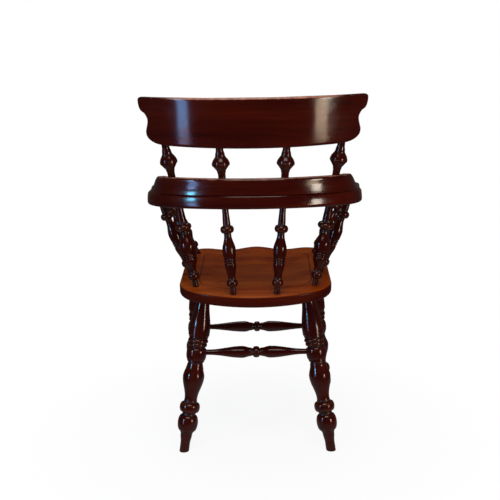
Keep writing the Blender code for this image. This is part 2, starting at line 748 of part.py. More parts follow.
def comb_ends():
    """The comb's half length at each share of its height: foot, lobe, waist and horn."""
    return [
        (0.00, COMB_FOOT),
        (0.03, between(COMB_FOOT, COMB_LOBE, 0.31)),
        (0.08, between(COMB_FOOT, COMB_LOBE, 0.63)),
        (0.17, between(COMB_FOOT, COMB_LOBE, 0.92)),
        (0.28, COMB_LOBE),
        (0.37, between(COMB_LOBE, COMB_WAIST, 0.45)),
        (0.48, COMB_WAIST),
        (0.56, between(COMB_WAIST, COMB_HORN, 0.03)),
        (0.66, between(COMB_WAIST, COMB_HORN, 0.31)),
        (0.72, between(COMB_WAIST, COMB_HORN, 0.72)),
        (0.81, between(COMB_WAIST, COMB_HORN, 0.93)),
        (0.94, COMB_HORN),
        (1.00, between(COMB_WAIST, COMB_HORN, 0.86)),
    ]


def comb_grid(depth):
    """Rows of points over one face of the comb, from its lower edge to its upper."""
    rows = []
    for share, reach in comb_ends():
        row = []
        for column in range(-COMB_STEPS, COMB_STEPS + 1):
            along = reach * column / COMB_STEPS
            height = between(comb_lower_edge(along), comb_upper_edge(along), share)
            row.append(comb_point(along, height, depth))
        rows.append(row)
    return rows


def make_comb():
    bm = bmesh.new()
    faces = []
    for depth in (0, COMB_THICKNESS):
        rows = [[bm.verts.new(point) for point in row] for row in comb_grid(depth)]
        for lower, upper in zip(rows, rows[1:]):
            for index in range(len(lower) - 1):
                bm.faces.new((lower[index], lower[index + 1], upper[index + 1], upper[index]))
        rim = rows[0][:]
        rim += [row[-1] for row in rows[1:]]
        rim += rows[-1][-2::-1]
        rim += [row[0] for row in rows[-2:0:-1]]
        faces.append(rim)
    outer, inner = faces
    for index in range(len(outer)):
        following = (index + 1) % len(outer)
        bm.faces.new((outer[index], outer[following], inner[following], inner[index]))
    comb = add_object("comb_rail", bm, "dark_lacquer")
    comb.matrix_world = comb_matrix()
    round_edges(comb, COMB_ROUND, 2)
    return comb


# Spindles

def spindle_stations(radius, head, top_distance, length):
    """Turning of a lower spindle, from the seat up to the bow."""
    foot = SPINDLE_FOOT_RADIUS
    neck = SPINDLE_NECK_RADIUS
    low_bead = SPINDLE_LOW_BEAD / length
    top_bead = 1 - top_distance / length
    half_bead = SPINDLE_BEAD_LENGTH / 2 / length
    vase = top_bead - low_bead
    return [
        (0, foot, "line"),
        (low_bead - 1.5 * half_bead, foot, "line"),
        (low_bead, radius * 0.85, "bead"),
        (low_bead + half_bead, neck, "bead"),
        (low_bead + vase * 0.36, radius * 0.88, "ease"),
        (low_bead + vase * 0.39, radius * 0.80, "line"),
        (low_bead + vase * 0.42, radius * 0.94, "line"),
        (low_bead + vase * 0.62, radius, "ease"),
        (low_bead + vase * 0.87, neck, "ease"),
        (top_bead - half_bead, neck, "line"),
        (top_bead, radius, "bead"),
        (top_bead + half_bead, head, "bead"),
        (1 - STRAIGHT_NECK / length, head, "line"),
        (1, head, "line"),
    ]


def make_lower_spindle(name, places, side, radius, head_radius, top_distance):
    foot, head = mirrored(places[0], side), mirrored(places[1], side)
    start = Vector((foot[0], foot[1], seat_top(foot[1])))
    end = Vector((head[0], head[1], bow_underside(head[1])))
    stations = spindle_stations(radius, head_radius, top_distance, (end - start).length)
    tenons = (TENON_DEPTH, TENON_DEPTH)
    piece = turned_piece(name, start, end, stations, SPINDLE_SIDES, "dark_lacquer", tenons)
    in_seat = socket_cutter(name + "_seat_socket", end, start, SPINDLE_FOOT_RADIUS, TENON_DEPTH,
                            SPINDLE_SIDES)
    in_bow = socket_cutter(name + "_bow_socket", start, end, head_radius, TENON_DEPTH,
                           SPINDLE_SIDES)
    return piece, in_seat, in_bow


def upper_stations():
    """Turning of a short upper spindle: one sharp-shouldered ring in its middle."""
    neck = UPPER_TENON_RADIUS
    ring = UPPER_SPINDLE_RADIUS
    return [
        (0.00, neck, "line"),
        (0.14, neck, "line"),
        (0.28, UPPER_COLLAR_RADIUS, "ease"),
        (0.45, ring * 0.96, "line"),
        (0.485, ring, "line"),
        (0.54, ring * 0.96, "line"),
        (0.78, UPPER_COLLAR_RADIUS, "ease"),
        (0.92, neck, "line"),
        (1.00, neck, "line"),
    ]


def make_upper_spindle(name, place, side):
    start = crest_head(place[0], side)
    end = comb_socket(place[1], side)
    tenons = (TENON_DEPTH, TENON_DEPTH)
    piece = turned_piece(name, start, end, upper_stations(), SPINDLE_SIDES, "dark_lacquer", tenons)
    in_crest = socket_cutter(name + "_crest_socket", end, start, UPPER_TENON_RADIUS, TENON_DEPTH,
                             SPINDLE_SIDES)
    in_comb = socket_cutter(name + "_comb_socket", start, end, UPPER_TENON_RADIUS, TENON_DEPTH,
                            SPINDLE_SIDES)
    return piece, in_crest, in_comb


# The whole chair

def stretcher_ends():
    """Where each stretcher's axis meets the axes of its two legs."""
    rear = {side: leg_axis_at(REAR_FOOT, REAR_HEAD, side, REAR_STRETCHER_HEIGHT) for side in (1, -1)}
    front = {side: leg_axis_at(FRONT_FOOT, FRONT_HEAD, side, FRONT_STRETCHER_HEIGHT) for side in (1, -1)}
    return {
        "rear_stretcher": (rear[-1], rear[1], "rear_leg_right", "rear_leg_left"),
        "front_stretcher": (front[-1], front[1], "front_leg_right", "front_leg_left"),
        "side_stretcher_left": (front[1], rear[1], "front_leg_left", "rear_leg_left"),
        "side_stretcher_right": (front[-1], rear[-1], "front_leg_right", "rear_leg_right"),
    }


def centre_on_floor(pieces):
    """Hang every object from one empty that sets the chair's middle over the origin."""
    bpy.context.view_layer.update()
    graph = bpy.context.evaluated_depsgraph_get()
    corners = []
    for piece in pieces:
        seen = piece.evaluated_get(graph)
        corners += [piece.matrix_world @ Vector(corner) for corner in seen.bound_box]
    lowest = min(corner.y for corner in corners)
    highest = max(corner.y for corner in corners)
    origin = bpy.data.objects.new("chair_origin", None)
    bpy.context.scene.collection.objects.link(origin)
    for item in list(bpy.context.scene.collection.objects):
        if item is not origin:
            item.parent = origin
    origin.location.y = -(lowest + highest) / 2


def build_chair():
    clear_scene()
    seat = make_seat()
    arms = {1: make_arm("arm_left", 1), -1: make_arm("arm_right", -1)}
    crest = make_cresting()
    comb = make_comb()
    pieces = [seat, arms[1], arms[-1], crest, comb]
    sides = (("left", 1), ("right", -1))
    legs = {}
    for side_name, side in sides:
        for end_name, foot, head, height in (
            ("rear", REAR_FOOT, REAR_HEAD, REAR_STRETCHER_HEIGHT),
            ("front", FRONT_FOOT, FRONT_HEAD, FRONT_STRETCHER_HEIGHT),
        ):
            name = end_name + "_leg_" + side_name
            legs[name], cutter = make_leg(name, foot, head, side, height)
            cut_sockets(seat, [cutter])
    for name, (start, end, first_leg, second_leg) in stretcher_ends().items():
        piece, (first, second) = make_stretcher(name, start, end)
        cut_sockets(legs[first_leg], [first])
        cut_sockets(legs[second_leg], [second])
        pieces.append(piece)
    for side_name, side in sides:
        for word, places, radius, head_radius, top_distance in (
            ("centre_spindle", CENTRE_SPINDLE, THIN_SPINDLE_RADIUS, THIN_HEAD_RADIUS, CENTRE_TOP_BEAD),
            ("corner_spindle", CORNER_SPINDLE, THICK_SPINDLE_RADIUS, THICK_HEAD_RADIUS, CORNER_TOP_BEAD),
            ("side_spindle", SIDE_SPINDLE, THIN_SPINDLE_RADIUS, THIN_HEAD_RADIUS, SIDE_TOP_BEAD),
            ("arm_support", ARM_SUPPORT, THICK_SPINDLE_RADIUS, THICK_HEAD_RADIUS, SUPPORT_TOP_BEAD),
        ):
            piece, in_seat, in_bow = make_lower_spindle(word + "_" + side_name, places, side, radius,
                                                        head_radius, top_distance)
            cut_sockets(seat, [in_seat])
            cut_sockets(arms[side], [in_bow])
            pieces.append(piece)
        for word, place in (("inner_comb_spindle", INNER_UPPER), ("outer_comb_spindle", OUTER_UPPER)):
            piece, in_crest, in_comb = make_upper_spindle(word + "_" + side_name, place, side)
            cut_sockets(crest, [in_crest])
            cut_sockets(comb, [in_comb])
            pieces.append(piece)
    pieces += list(legs.values())
    centre_on_floor(pieces)


build_chair()
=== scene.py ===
"""Comb-back captain's armchair in polished dark red-brown wood, dressed for its portrait.

The chair stands on z = 0 and faces -Y; left and right are the sitter's, so left is +X.
Places in y are measured from the middle of the seat, as the solids were drawn, and every
piece is moved by the same small step at its end to lie where its solid lies.
"""

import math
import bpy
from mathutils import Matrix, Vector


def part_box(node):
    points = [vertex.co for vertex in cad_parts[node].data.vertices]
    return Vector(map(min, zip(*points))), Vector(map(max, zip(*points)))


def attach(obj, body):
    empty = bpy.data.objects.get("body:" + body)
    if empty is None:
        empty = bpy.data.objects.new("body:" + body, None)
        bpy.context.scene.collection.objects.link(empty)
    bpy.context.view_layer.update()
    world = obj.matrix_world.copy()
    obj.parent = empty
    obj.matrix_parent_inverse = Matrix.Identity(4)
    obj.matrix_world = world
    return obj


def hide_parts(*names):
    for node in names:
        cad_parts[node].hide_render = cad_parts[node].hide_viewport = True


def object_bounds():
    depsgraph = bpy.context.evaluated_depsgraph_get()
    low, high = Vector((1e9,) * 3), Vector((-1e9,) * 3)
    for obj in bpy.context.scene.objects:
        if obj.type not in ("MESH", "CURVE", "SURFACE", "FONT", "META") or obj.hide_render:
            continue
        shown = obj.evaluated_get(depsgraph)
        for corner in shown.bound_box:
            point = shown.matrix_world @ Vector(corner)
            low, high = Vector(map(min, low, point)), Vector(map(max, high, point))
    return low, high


bl_info = {
    "name": "Comb-back captain's armchair",
    "version": (1, 0, 0),
    "blender": (4, 5, 0),
    "location": "View3D > Sidebar > Armchair",
    "description": "Builds the turned, sawn and lacquered pieces of a comb-back armchair",
    "category": "Object",
}

import bmesh
import bpy
from bpy.props import FloatProperty, FloatVectorProperty, IntProperty, PointerProperty
from mathutils import Matrix, Vector

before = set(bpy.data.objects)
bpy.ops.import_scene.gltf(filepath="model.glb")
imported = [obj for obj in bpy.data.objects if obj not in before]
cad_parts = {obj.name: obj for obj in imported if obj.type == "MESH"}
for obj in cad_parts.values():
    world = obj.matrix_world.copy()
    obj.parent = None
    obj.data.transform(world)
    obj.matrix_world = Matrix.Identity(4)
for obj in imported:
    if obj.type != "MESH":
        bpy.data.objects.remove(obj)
SOLID_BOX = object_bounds()
FLOOR_HEIGHT = SOLID_BOX[0].z
BODY = "root"
SIDES = (("left", 1), ("right", -1))
MERGE_DISTANCE = 0.00001

# The seat, as its solid
SEAT_WIDTH = 0.390
SEAT_DEPTH = 0.420
SEAT_BACK_HEIGHT = 0.420
SEAT_RISE = 0.045
SEAT_THICKNESS = 0.030
SEAT_REAR_RADIUS = 0.300
SEAT_REAR_CORNER = 0.090
SEAT_FRONT_RADIUS = 0.900
SEAT_FRONT_CORNER = 0.045
REAR_BAND = 0.066
SIDE_BAND = 0.042
GUTTER_END = 0.090
GUTTER_FADE = 0.050
SEAT_REAR = SEAT_DEPTH / 2
SEAT_TILT = math.asin(SEAT_RISE / SEAT_DEPTH)

# Legs and stretchers, as their solids
LEGS = {
    "rear": ((0.190, 0.1665), (0.1325, 0.103), 0.253),
    "front": ((0.197, -0.1605), (0.157, -0.111), 0.242),
}
FOOT_RADIUS = 0.0123
LEG_TENON = 0.022
BULB_RADIUS = 0.0262
STRETCHER_TENON = 0.013

# The bow of the two arms, and the cresting on it
BOW_BACK = 0.2145
BOW_HEIGHT = 0.6355
BOW_THICKNESS = 0.0335
BOW_FALL = 0.0175
BOW_HALF_WIDTH = 0.2788
BOW_BACK_RADIUS = 0.390
BOW_CORNER_RADIUS = 0.165
BOW_FLARE = math.radians(3.6)
BOW_FRONT = -0.200
BOW_TILT = math.atan2(BOW_FALL, BOW_BACK - BOW_FRONT)
ARM_WIDTH = 0.055
HAND_WIDTH = 0.072
HAND_LENGTH = 0.120
CREST_HALF_LENGTH = 0.392
CREST_END_SLOPE = 0.105
CREST_HEIGHT = 0.039
CREST_END_HEIGHT = 0.004
CREST_END_RISE = 0.003
CREST_BASE_WIDTH = 0.040
CREST_TOP_WIDTH = 0.030
CREST_SETBACK = 0.001
CREST_END_SETBACK = 0.0115
CREST_END_LEAN = 0.0165
GLUE_GAP = 0.0003
ARM_WIDEST = 0.3 * BOW_THICKNESS
ARM_FACE_RINGS = (0.003, 0.009, 0.015)
HANDLED_FROM = 0.270
HANDLED_FADE = 0.070
JOINT_MARGIN = 0.030
JOINT_FADE = 0.050
TOP_FACE_FROM = 0.92
TOP_FACE_FADE = 0.06

# The comb
COMB_BACK = 0.2190
COMB_BOTTOM = 0.7860
COMB_HEIGHT = 0.1160
COMB_THICKNESS = 0.022
COMB_RADIUS = 0.450
COMB_LEAN = math.radians(8)
COMB_BELLY = 0.007
COMB_DIP = 0.006
COMB_HORN = 0.301
COMB_WAIST = 0.2720
COMB_LOBE = 0.2785
COMB_FOOT = 0.230
# Where the comb's top edge takes its painted highlight, and its worn foot; both fade towards the ends.
COMB_TOP_HIGHLIGHT_FROM = 0.945
COMB_TOP_HIGHLIGHT_FADE = 0.025
COMB_FOOT_WORN = 0.020
COMB_END_FADE = 0.045

# Spindles: foot and head (x, y), thickness of the turning, radius of the head, and how far
# the upper bead hangs below the bow
LOWER_SPINDLES = {
    "centre_spindle": ((0.0535, 0.1875), (0.0695, 0.1800), 1.00, 0.0080, 0.051),
    "corner_spindle": ((0.1500, 0.1290), (0.1860, 0.1330), 1.24, 0.0100, 0.051),
    "side_spindle": ((0.1720, 0.0220), (0.2440, 0.0220), 1.00, 0.0080, 0.037),
    "arm_support": ((0.1655, -0.1435), (0.2530, -0.1385), 1.24, 0.0100, 0.040),
}
UPPER_SPINDLES = {
    "inner_comb_spindle": (0.0785, 0.0790),
    "outer_comb_spindle": (0.2230, 0.2120),
}
SPINDLE_TENON = 0.016
LOW_BEAD_HEIGHT = 0.028

# Colours and relief inside the finishes
LACQUER_BANDS = (0.55, 0.45, 0.40, 1)
LACQUER_PORES = (0.006, 0.002, 0.001, 1)
LACQUER_RELIEF = 0.00045
SEAT_BANDS = (0.62, 0.50, 0.40, 1)
SEAT_PORES = (0.020, 0.005, 0.001, 1)
SEAT_DULLED = (0.60, 0.42, 0.30, 1)
SEAT_RELIEF = 0.0003


def settings():
    return bpy.context.scene.armchair


# Shared geometry

def smooth(value):
    value = min(max(value, 0.0), 1.0)
    return value * value * (3 - 2 * value)


def between(low, high, share):
    return low + (high - low) * share


def smooth_curve(stations, at):
    """Value at a place on a smooth curve through (place, value) stations."""
    last = len(stations) - 1
    index = 0
    while index < last - 1 and at > stations[index + 1][0]:
        index += 1

    def slope(i):
        before, after = stations[max(i - 1, 0)], stations[min(i + 1, last)]
        return (after[1] - before[1]) / (after[0] - before[0])

    (x0, y0), (x1, y1) = stations[index], stations[index + 1]
    span = x1 - x0
    t = min(max((at - x0) / span, 0.0), 1.0)
    m0, m1 = slope(index) * span, slope(index + 1) * span
    return ((2 * t ** 3 - 3 * t ** 2 + 1) * y0 + (t ** 3 - 2 * t ** 2 + t) * m0
            + (3 * t ** 2 - 2 * t ** 3) * y1 + (t ** 3 - t ** 2) * m1)


def quarter_turn(steps):
    """Angles along a rounded edge, from 0 to a right angle."""
    return [math.pi / 2 * step / steps for step in range(steps + 1)]


def rounded_edge(radius, steps):
    """A rounded lower edge as (height, inset) pairs, from the bottom to its side. Read as
    (inset, drop) they are an upper edge, from its side to the top."""
    return [(radius * (1 - math.cos(angle)), radius * (1 - math.sin(angle)))
            for angle in quarter_turn(steps)]


def seat_top(y):
    return SEAT_BACK_HEIGHT + (SEAT_REAR - y) * math.tan(SEAT_TILT)


def seat_underside(y):
    return seat_top(y) - SEAT_THICKNESS / math.cos(SEAT_TILT)


def bow_underside(y):
    return BOW_HEIGHT - (BOW_BACK - y) * math.tan(BOW_TILT)


def leg_line(kind, side):
    foot, head, _ = LEGS[kind]
    start = Vector((foot[0] * side, foot[1], 0))
    return start, Vector((head[0] * side, head[1], seat_underside(head[1])))


def leg_axis_at(kind, side, height):
    start, end = leg_line(kind, side)
    return start.lerp(end, height / end.z)


def middle_shift():
    """How far the finished chair lies behind the place it was drawn at, in y."""
    low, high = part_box("rear_stretcher")
    return (low.y + high.y) / 2 - leg_axis_at("rear", 1, LEGS["rear"][2]).y


def bow_turn():
    reach = (BOW_HALF_WIDTH - BOW_CORNER_RADIUS) / (BOW_BACK_RADIUS - BOW_CORNER_RADIUS)
    return math.asin(reach)


def bow_edge(distance):
    """Point (x, y) on the bow's outer edge at a distance from the back's middle, on the
    left side, and the outward direction there, both from the middle of the edge."""
    turn = bow_turn()
    back_length = BOW_BACK_RADIUS * turn
    end_angle = math.pi / 2 - BOW_FLARE
    corner_length = BOW_CORNER_RADIUS * (end_angle - turn)
    if distance <= back_length:
        angle = distance / BOW_BACK_RADIUS
        outward = Vector((math.sin(angle), math.cos(angle)))
        return Vector((0, -BOW_BACK_RADIUS)) + outward * BOW_BACK_RADIUS, outward
    inner = BOW_BACK_RADIUS - BOW_CORNER_RADIUS
    centre = Vector((inner * math.sin(turn), -BOW_BACK_RADIUS + inner * math.cos(turn)))
    angle = min(turn + (distance - back_length) / BOW_CORNER_RADIUS, end_angle)
    outward = Vector((math.sin(angle), math.cos(angle)))
    ahead = max(distance - back_length - corner_length, 0)
    return centre + outward * BOW_CORNER_RADIUS + Vector((outward.y, -outward.x)) * ahead, outward


def bow_length():
    corner_end = BOW_BACK_RADIUS * bow_turn()
    corner_end += BOW_CORNER_RADIUS * (math.pi / 2 - BOW_FLARE - bow_turn())
    run = bow_edge(corner_end)[0].y - (BOW_FRONT - BOW_BACK)
    return corner_end + run / math.cos(BOW_FLARE)


def bow_matrix(height):
    place = Matrix.Translation((0, BOW_BACK, BOW_HEIGHT))
    return place @ Matrix.Rotation(BOW_TILT, 4, "X") @ Matrix.Translation((0, 0, height))


def crest_setback(distance):
    """Inset of the cresting's outer face at its foot, and how much further in its top lies."""
    share = smooth(2 * abs(distance) / CREST_HALF_LENGTH - 1)
    return between(CREST_SETBACK, CREST_END_SETBACK, share), CREST_END_LEAN * share


def crest_height_at(distance):
    share = smooth((CREST_HALF_LENGTH - abs(distance)) / CREST_END_SLOPE)
    full = CREST_HEIGHT + CREST_END_RISE * smooth(abs(distance) / CREST_HALF_LENGTH)
    return between(CREST_END_HEIGHT, full, share)


def crest_head(distance, side):
    """Where an upper spindle stands on the cresting's top."""
    point, outward = bow_edge(distance)
    back, lean = crest_setback(distance)
    place = point - outward * (back + lean * 0.75 + CREST_TOP_WIDTH / 2)
    height = BOW_THICKNESS + GLUE_GAP + crest_height_at(distance)
    return bow_matrix(height) @ Vector((place.x * side, place.y, 0))


def comb_lower_edge(along):
    return -COMB_BELLY * max(0, 1 - (along / COMB_FOOT) ** 2)


def comb_upper_edge(along):
    return COMB_HEIGHT - COMB_DIP * max(0, 1 - (along / COMB_HORN) ** 2)


def comb_point(along, height, depth):
    angle = along / COMB_RADIUS
    radius = COMB_RADIUS - depth
    back = radius * math.cos(angle) - COMB_RADIUS + height * math.tan(COMB_LEAN)
    return Vector((radius * math.sin(angle), COMB_BACK + back, COMB_BOTTOM + height))


def comb_socket(x, side):
    middle = COMB_THICKNESS / 2
    along = COMB_RADIUS * math.asin(x / (COMB_RADIUS - middle))
    return comb_point(along * side, comb_lower_edge(along), middle)


# Mesh helpers. Every piece carries two attributes: grain, the place in the wood with its fibres along z,
# and wear, from -1 in a groove to 1 where hands and polish reach. On the top edges of the comb and
# cresting a high wear paints a highlight, and on proud beads it is partly wear and partly a painted
# highlight.

def new_layers(bm):
    return bm.verts.layers.float_vector.new("grain"), bm.verts.layers.float.new("wear")



def close_holes(bm):
    open_edges = [edge for edge in bm.edges if edge.is_boundary]
    bmesh.ops.holes_fill(bm, edges=open_edges, sides=0)


def add_object(name, data):
    item = bpy.data.objects.new(name, data)
    bpy.context.scene.collection.objects.link(item)
    return item


def finish_piece(name, bm, nodes, slot, smooth_angle=35):
    """Close a bmesh into a named piece that stands for its solid and rides on the chair."""
    bmesh.ops.remove_doubles(bm, verts=bm.verts[:], dist=MERGE_DISTANCE)
    bmesh.ops.recalc_face_normals(bm, faces=bm.faces[:])
    bm.transform(Matrix.Translation((0, middle_shift(), 0)))
    mesh = bpy.data.meshes.new(name)
    bm.to_mesh(mesh)
    bm.free()
    mesh.shade_smooth()
    mesh.set_sharp_from_angle(angle=math.radians(smooth_angle))
    mesh.materials.append(bpy.data.materials[slot + "_finish"])
    piece = add_object(name, mesh)
    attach(piece, BODY)
    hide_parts(*nodes)
    return piece


def skinned_piece(node, rings, slot, place=Matrix.Identity(4)):
    """Skin a board over rings of (point, place in the wood, wear) and close its ends."""
    bm = bmesh.new()
    grain, wear = new_layers(bm)
    loops = []
    for ring in rings:
        verts = []
        for point, wood_place, worn in ring:
            vert = bm.verts.new(point)
            vert[grain], vert[wear] = wood_place, worn
            verts.append(vert)
        loops.append([bm.edges.new(pair) for pair in zip(verts, verts[1:] + verts[:1])])
    for lower, upper in zip(loops, loops[1:]):
        bmesh.ops.bridge_loops(bm, edges=lower + upper)
    close_holes(bm)
    bm.transform(place)
    finish_piece(node + "_board", bm, [node], slot)


# Turned work

def turning_points(stations):
    """Profile of a turning as (distance, radius) pairs.

    Each station is (distance, radius, way), where way is how the profile arrives there:
    line, ease for a flowing curve, or bead for a round swelling.
    """
    steps = settings().turning.curve_steps
    points = [stations[0][:2]]
    for to_z, radius, way in stations[1:]:
        from_z, from_radius = points[-1]
        if way == "line":
            points.append((to_z, radius))
            continue
        for step in range(1, steps + 1):
            share = step / steps
            if way == "ease":
                blend = (1 - math.cos(math.pi * share)) / 2
                reach = share
            elif radius > from_radius:
                blend = math.sin(math.pi * share / 2)
                reach = 1 - math.cos(math.pi * share / 2)
            else:
                blend = 1 - math.cos(math.pi * share / 2)
                reach = math.sin(math.pi * share / 2)
            points.append((between(from_z, to_z, reach), between(from_radius, radius, blend)))
    return points


def radius_at(points, z):
    for (low, low_radius), (high, high_radius) in zip(points, points[1:]):
        if z <= high:
            share = (z - low) / max(high - low, MERGE_DISTANCE)
            return between(low_radius, high_radius, min(max(share, 0), 1))
    return points[-1][1]


def turned_piece(name, start, end, stations, tenons, slot, foot_on_floor=False):
    """A turning between two points, with its tenons beyond them."""
    length = (end - start).length
    points = turning_points(stations)
    points.insert(0, (-tenons[0], points[0][1]))
    points.append((length + tenons[1], points[-1][1]))
    bm = bmesh.new()
    grain, wear = new_layers(bm)
    rim = [bm.verts.new((radius, 0, z)) for z, radius in points]
    edges = [bm.edges.new(pair) for pair in zip(rim, rim[1:])]
    bmesh.ops.spin(bm, geom=rim + edges, cent=(0, 0, 0), axis=(0, 0, 1), angle=2 * math.pi,
                   steps=settings().turning.sides, use_merge=True)
    offset = Vector((start.x * 3, start.y * 5, start.z))
    window = settings().turning.wear_window
    for vert in bm.verts:
        vert[grain] = vert.co + offset
        z = vert.co.z
        # Proud beads get a high wear and so the lighter handled brown, which is partly wear and partly a
        # painted highlight; grooves get settled polish.
        beside = (radius_at(points, z - window) + radius_at(points, z + window)) / 2
        vert[wear] = max(-1, min(1, (vert.co.xy.length - beside) / (window * 0.5)))
    direction = (end - start).normalized()
    bm.transform(Matrix.Translation(start) @ direction.to_track_quat("Z", "X").to_matrix().to_4x4())
    if foot_on_floor:
        bmesh.ops.remove_doubles(bm, verts=bm.verts[:], dist=MERGE_DISTANCE)
        bmesh.ops.bisect_plane(bm, geom=bm.verts[:] + bm.edges[:] + bm.faces[:],
                               plane_co=(0, 0, FLOOR_HEIGHT), plane_no=(0, 0, -1), clear_outer=True)
    close_holes(bm)
    return finish_piece(name + "_turned", bm, [name], slot, smooth_angle=45)


def leg_stations(bulb, length):
    """Turning of a leg from foot to seat, with the middle of the stretchers' bulb at bulb."""
    below = [
        (0.000, FOOT_RADIUS, "line"), (0.080, FOOT_RADIUS, "line"), (0.175, 0.0152, "ease"),
        (0.205, 0.0178, "ease"), (0.289, 0.0262, "bead"), (0.368, 0.0180, "bead"),
        (0.376, 0.0170, "line"), (0.392, 0.0170, "line"), (0.400, 0.0205, "line"),
        (0.447, 0.0262, "bead"), (0.492, 0.0205, "bead"), (0.500, 0.0172, "line"),
        (0.530, 0.0163, "ease"), (0.755, 0.0277, "ease"), (0.880, 0.0205, "ease"),
        (0.893, 0.0192, "line"), (0.905, 0.0192, "line"), (0.912, 0.0222, "line"),
        (0.927, 0.0222, "line"), (1.000, BULB_RADIUS, "bead"),
    ]
    above = [
        (0.080, 0.0222, "bead"), (0.088, 0.0196, "line"), (0.105, 0.0196, "line"),
        (0.113, 0.0218, "line"), (0.142, 0.0244, "bead"), (0.168, 0.0222, "bead"),
        (0.176, 0.0222, "line"), (0.205, 0.0260, "bead"), (0.240, 0.0228, "bead"),
        (0.250, 0.0228, "line"), (0.262, 0.0252, "line"), (0.290, 0.0252, "line"),
        (0.302, 0.0272, "line"), (0.380, 0.0274, "ease"), (0.900, 0.0172, "ease"),
        (1.000, 0.0165, "line"),
    ]
    stations = [(share * bulb, radius, way) for share, radius, way in below]
    rest = length - bulb
    return stations + [(bulb + share * rest, radius, way) for share, radius, way in above]


def make_leg(kind, side_name, side):
    start, end = leg_line(kind, side)
    length = (end - start).length
    stations = leg_stations(LEGS[kind][2] / end.z * length, length)
    turned_piece(kind + "_leg_" + side_name, start, end, stations, (FOOT_RADIUS, LEG_TENON),
                 "leg_lacquer", foot_on_floor=True)


def stretcher_stations(length):
    """Turning of a stretcher, mirrored about the bead in its middle."""
    half = length / 2
    side = [
        (0.006, 0.0070, "line"), (half - 0.036, 0.0154, "ease"), (half - 0.0125, 0.0108, "ease"),
        (half - 0.0115, 0.0098, "line"), (half - 0.0085, 0.0098, "line"),
        (half - 0.0075, 0.0116, "line"),
    ]
    stations = [(0, 0.0070, "line")] + side + [(half, 0.0146, "bead")]
    ways = [way for _, _, way in side[1:]] + ["bead"]
    for (z, radius, _), way in zip(reversed(side), reversed(ways)):
        stations.append((length - z, radius, way))
    return stations + [(length, 0.0070, "line")]


def make_stretcher(name, first, second):
    direction = (second - first).normalized()
    start, end = first + direction * BULB_RADIUS, second - direction * BULB_RADIUS
    stations = stretcher_stations((end - start).length)
    turned_piece(name, start, end, stations, (STRETCHER_TENON, STRETCHER_TENON), "leg_lacquer")


def spindle_stations(thickness, head, top_distance, length):
    """Turning of a lower spindle: low bead, urn, two fine rings, vase, upper bead and head."""
    low, top = LOW_BEAD_HEIGHT, length - top_distance
    vase = [
        (0.352, 0.0144, "ease"), (0.375, 0.0128, "bead"), (0.385, 0.0128, "line"),
        (0.402, 0.0150, "bead"), (0.419, 0.0130, "bead"), (0.429, 0.0130, "line"),
        (0.447, 0.0154, "bead"), (0.465, 0.0136, "bead"), (0.475, 0.0140, "line"),
        (0.620, 0.0165, "bead"),
    ]
    return [
        (0.000, 0.0070, "line"), (low - 0.0100, 0.0070, "line"), (low - 0.0088, 0.0090, "line"),
        (low, 0.0141, "bead"), (low + 0.0085, 0.0098, "bead"), (low + 0.0098, 0.0092, "line"),
        (low + 0.0140, 0.0094, "line"),
        *((between(low, top, share), radius * thickness, way) for share, radius, way in vase),
        (between(low, top, 0.890), 0.0090, "ease"), (top - 0.0098, 0.0090, "line"),
        (top - 0.0088, 0.0104, "line"), (top, 0.0166 * thickness, "bead"),
        (top + 0.0088, head + 0.0020, "bead"), (top + 0.0100, head + 0.0014, "line"),
        (length - 0.006, head, "ease"), (length, head, "line"),
    ]


def make_lower_spindle(kind, side_name, side):
    foot, head, thickness, head_radius, top_distance = LOWER_SPINDLES[kind]
    start = Vector((foot[0] * side, foot[1], seat_top(foot[1])))
    end = Vector((head[0] * side, head[1], bow_underside(head[1])))
    stations = spindle_stations(thickness, head_radius, top_distance, (end - start).length)
    turned_piece(kind + "_" + side_name, start, end, stations, (SPINDLE_TENON, SPINDLE_TENON),
                 "spindle_lacquer")


def make_upper_spindle(kind, side_name, side):
    along, x = UPPER_SPINDLES[kind]
    start, end = crest_head(along, side), comb_socket(x, side)
    length = (end - start).length
    shares = [
        (0.000, 0.0090, "line"), (0.140, 0.0092, "line"), (0.270, 0.0110, "ease"),
        (0.440, 0.0200, "line"), (0.460, 0.0213, "bead"), (0.477, 0.0215, "line"),
        (0.485, 0.0206, "line"), (0.493, 0.0215, "line"), (0.512, 0.0214, "line"),
        (0.535, 0.0203, "bead"), (0.780, 0.0116, "ease"), (0.940, 0.0092, "ease"),
        (1.000, 0.0090, "line"),
    ]
    stations = [(share * length, radius, way) for share, radius, way in shares]
    turned_piece(kind + "_" + side_name, start, end, stations, (SPINDLE_TENON, SPINDLE_TENON),
                 "spindle_lacquer")


# The seat

def arc_points(centre, radius, from_angle, to_angle, steps):
    points = []
    for step in range(steps + 1):
        angle = between(from_angle, to_angle, step / steps)
        points.append((centre[0] + radius * math.sin(angle), centre[1] + radius * math.cos(angle)))
    return points


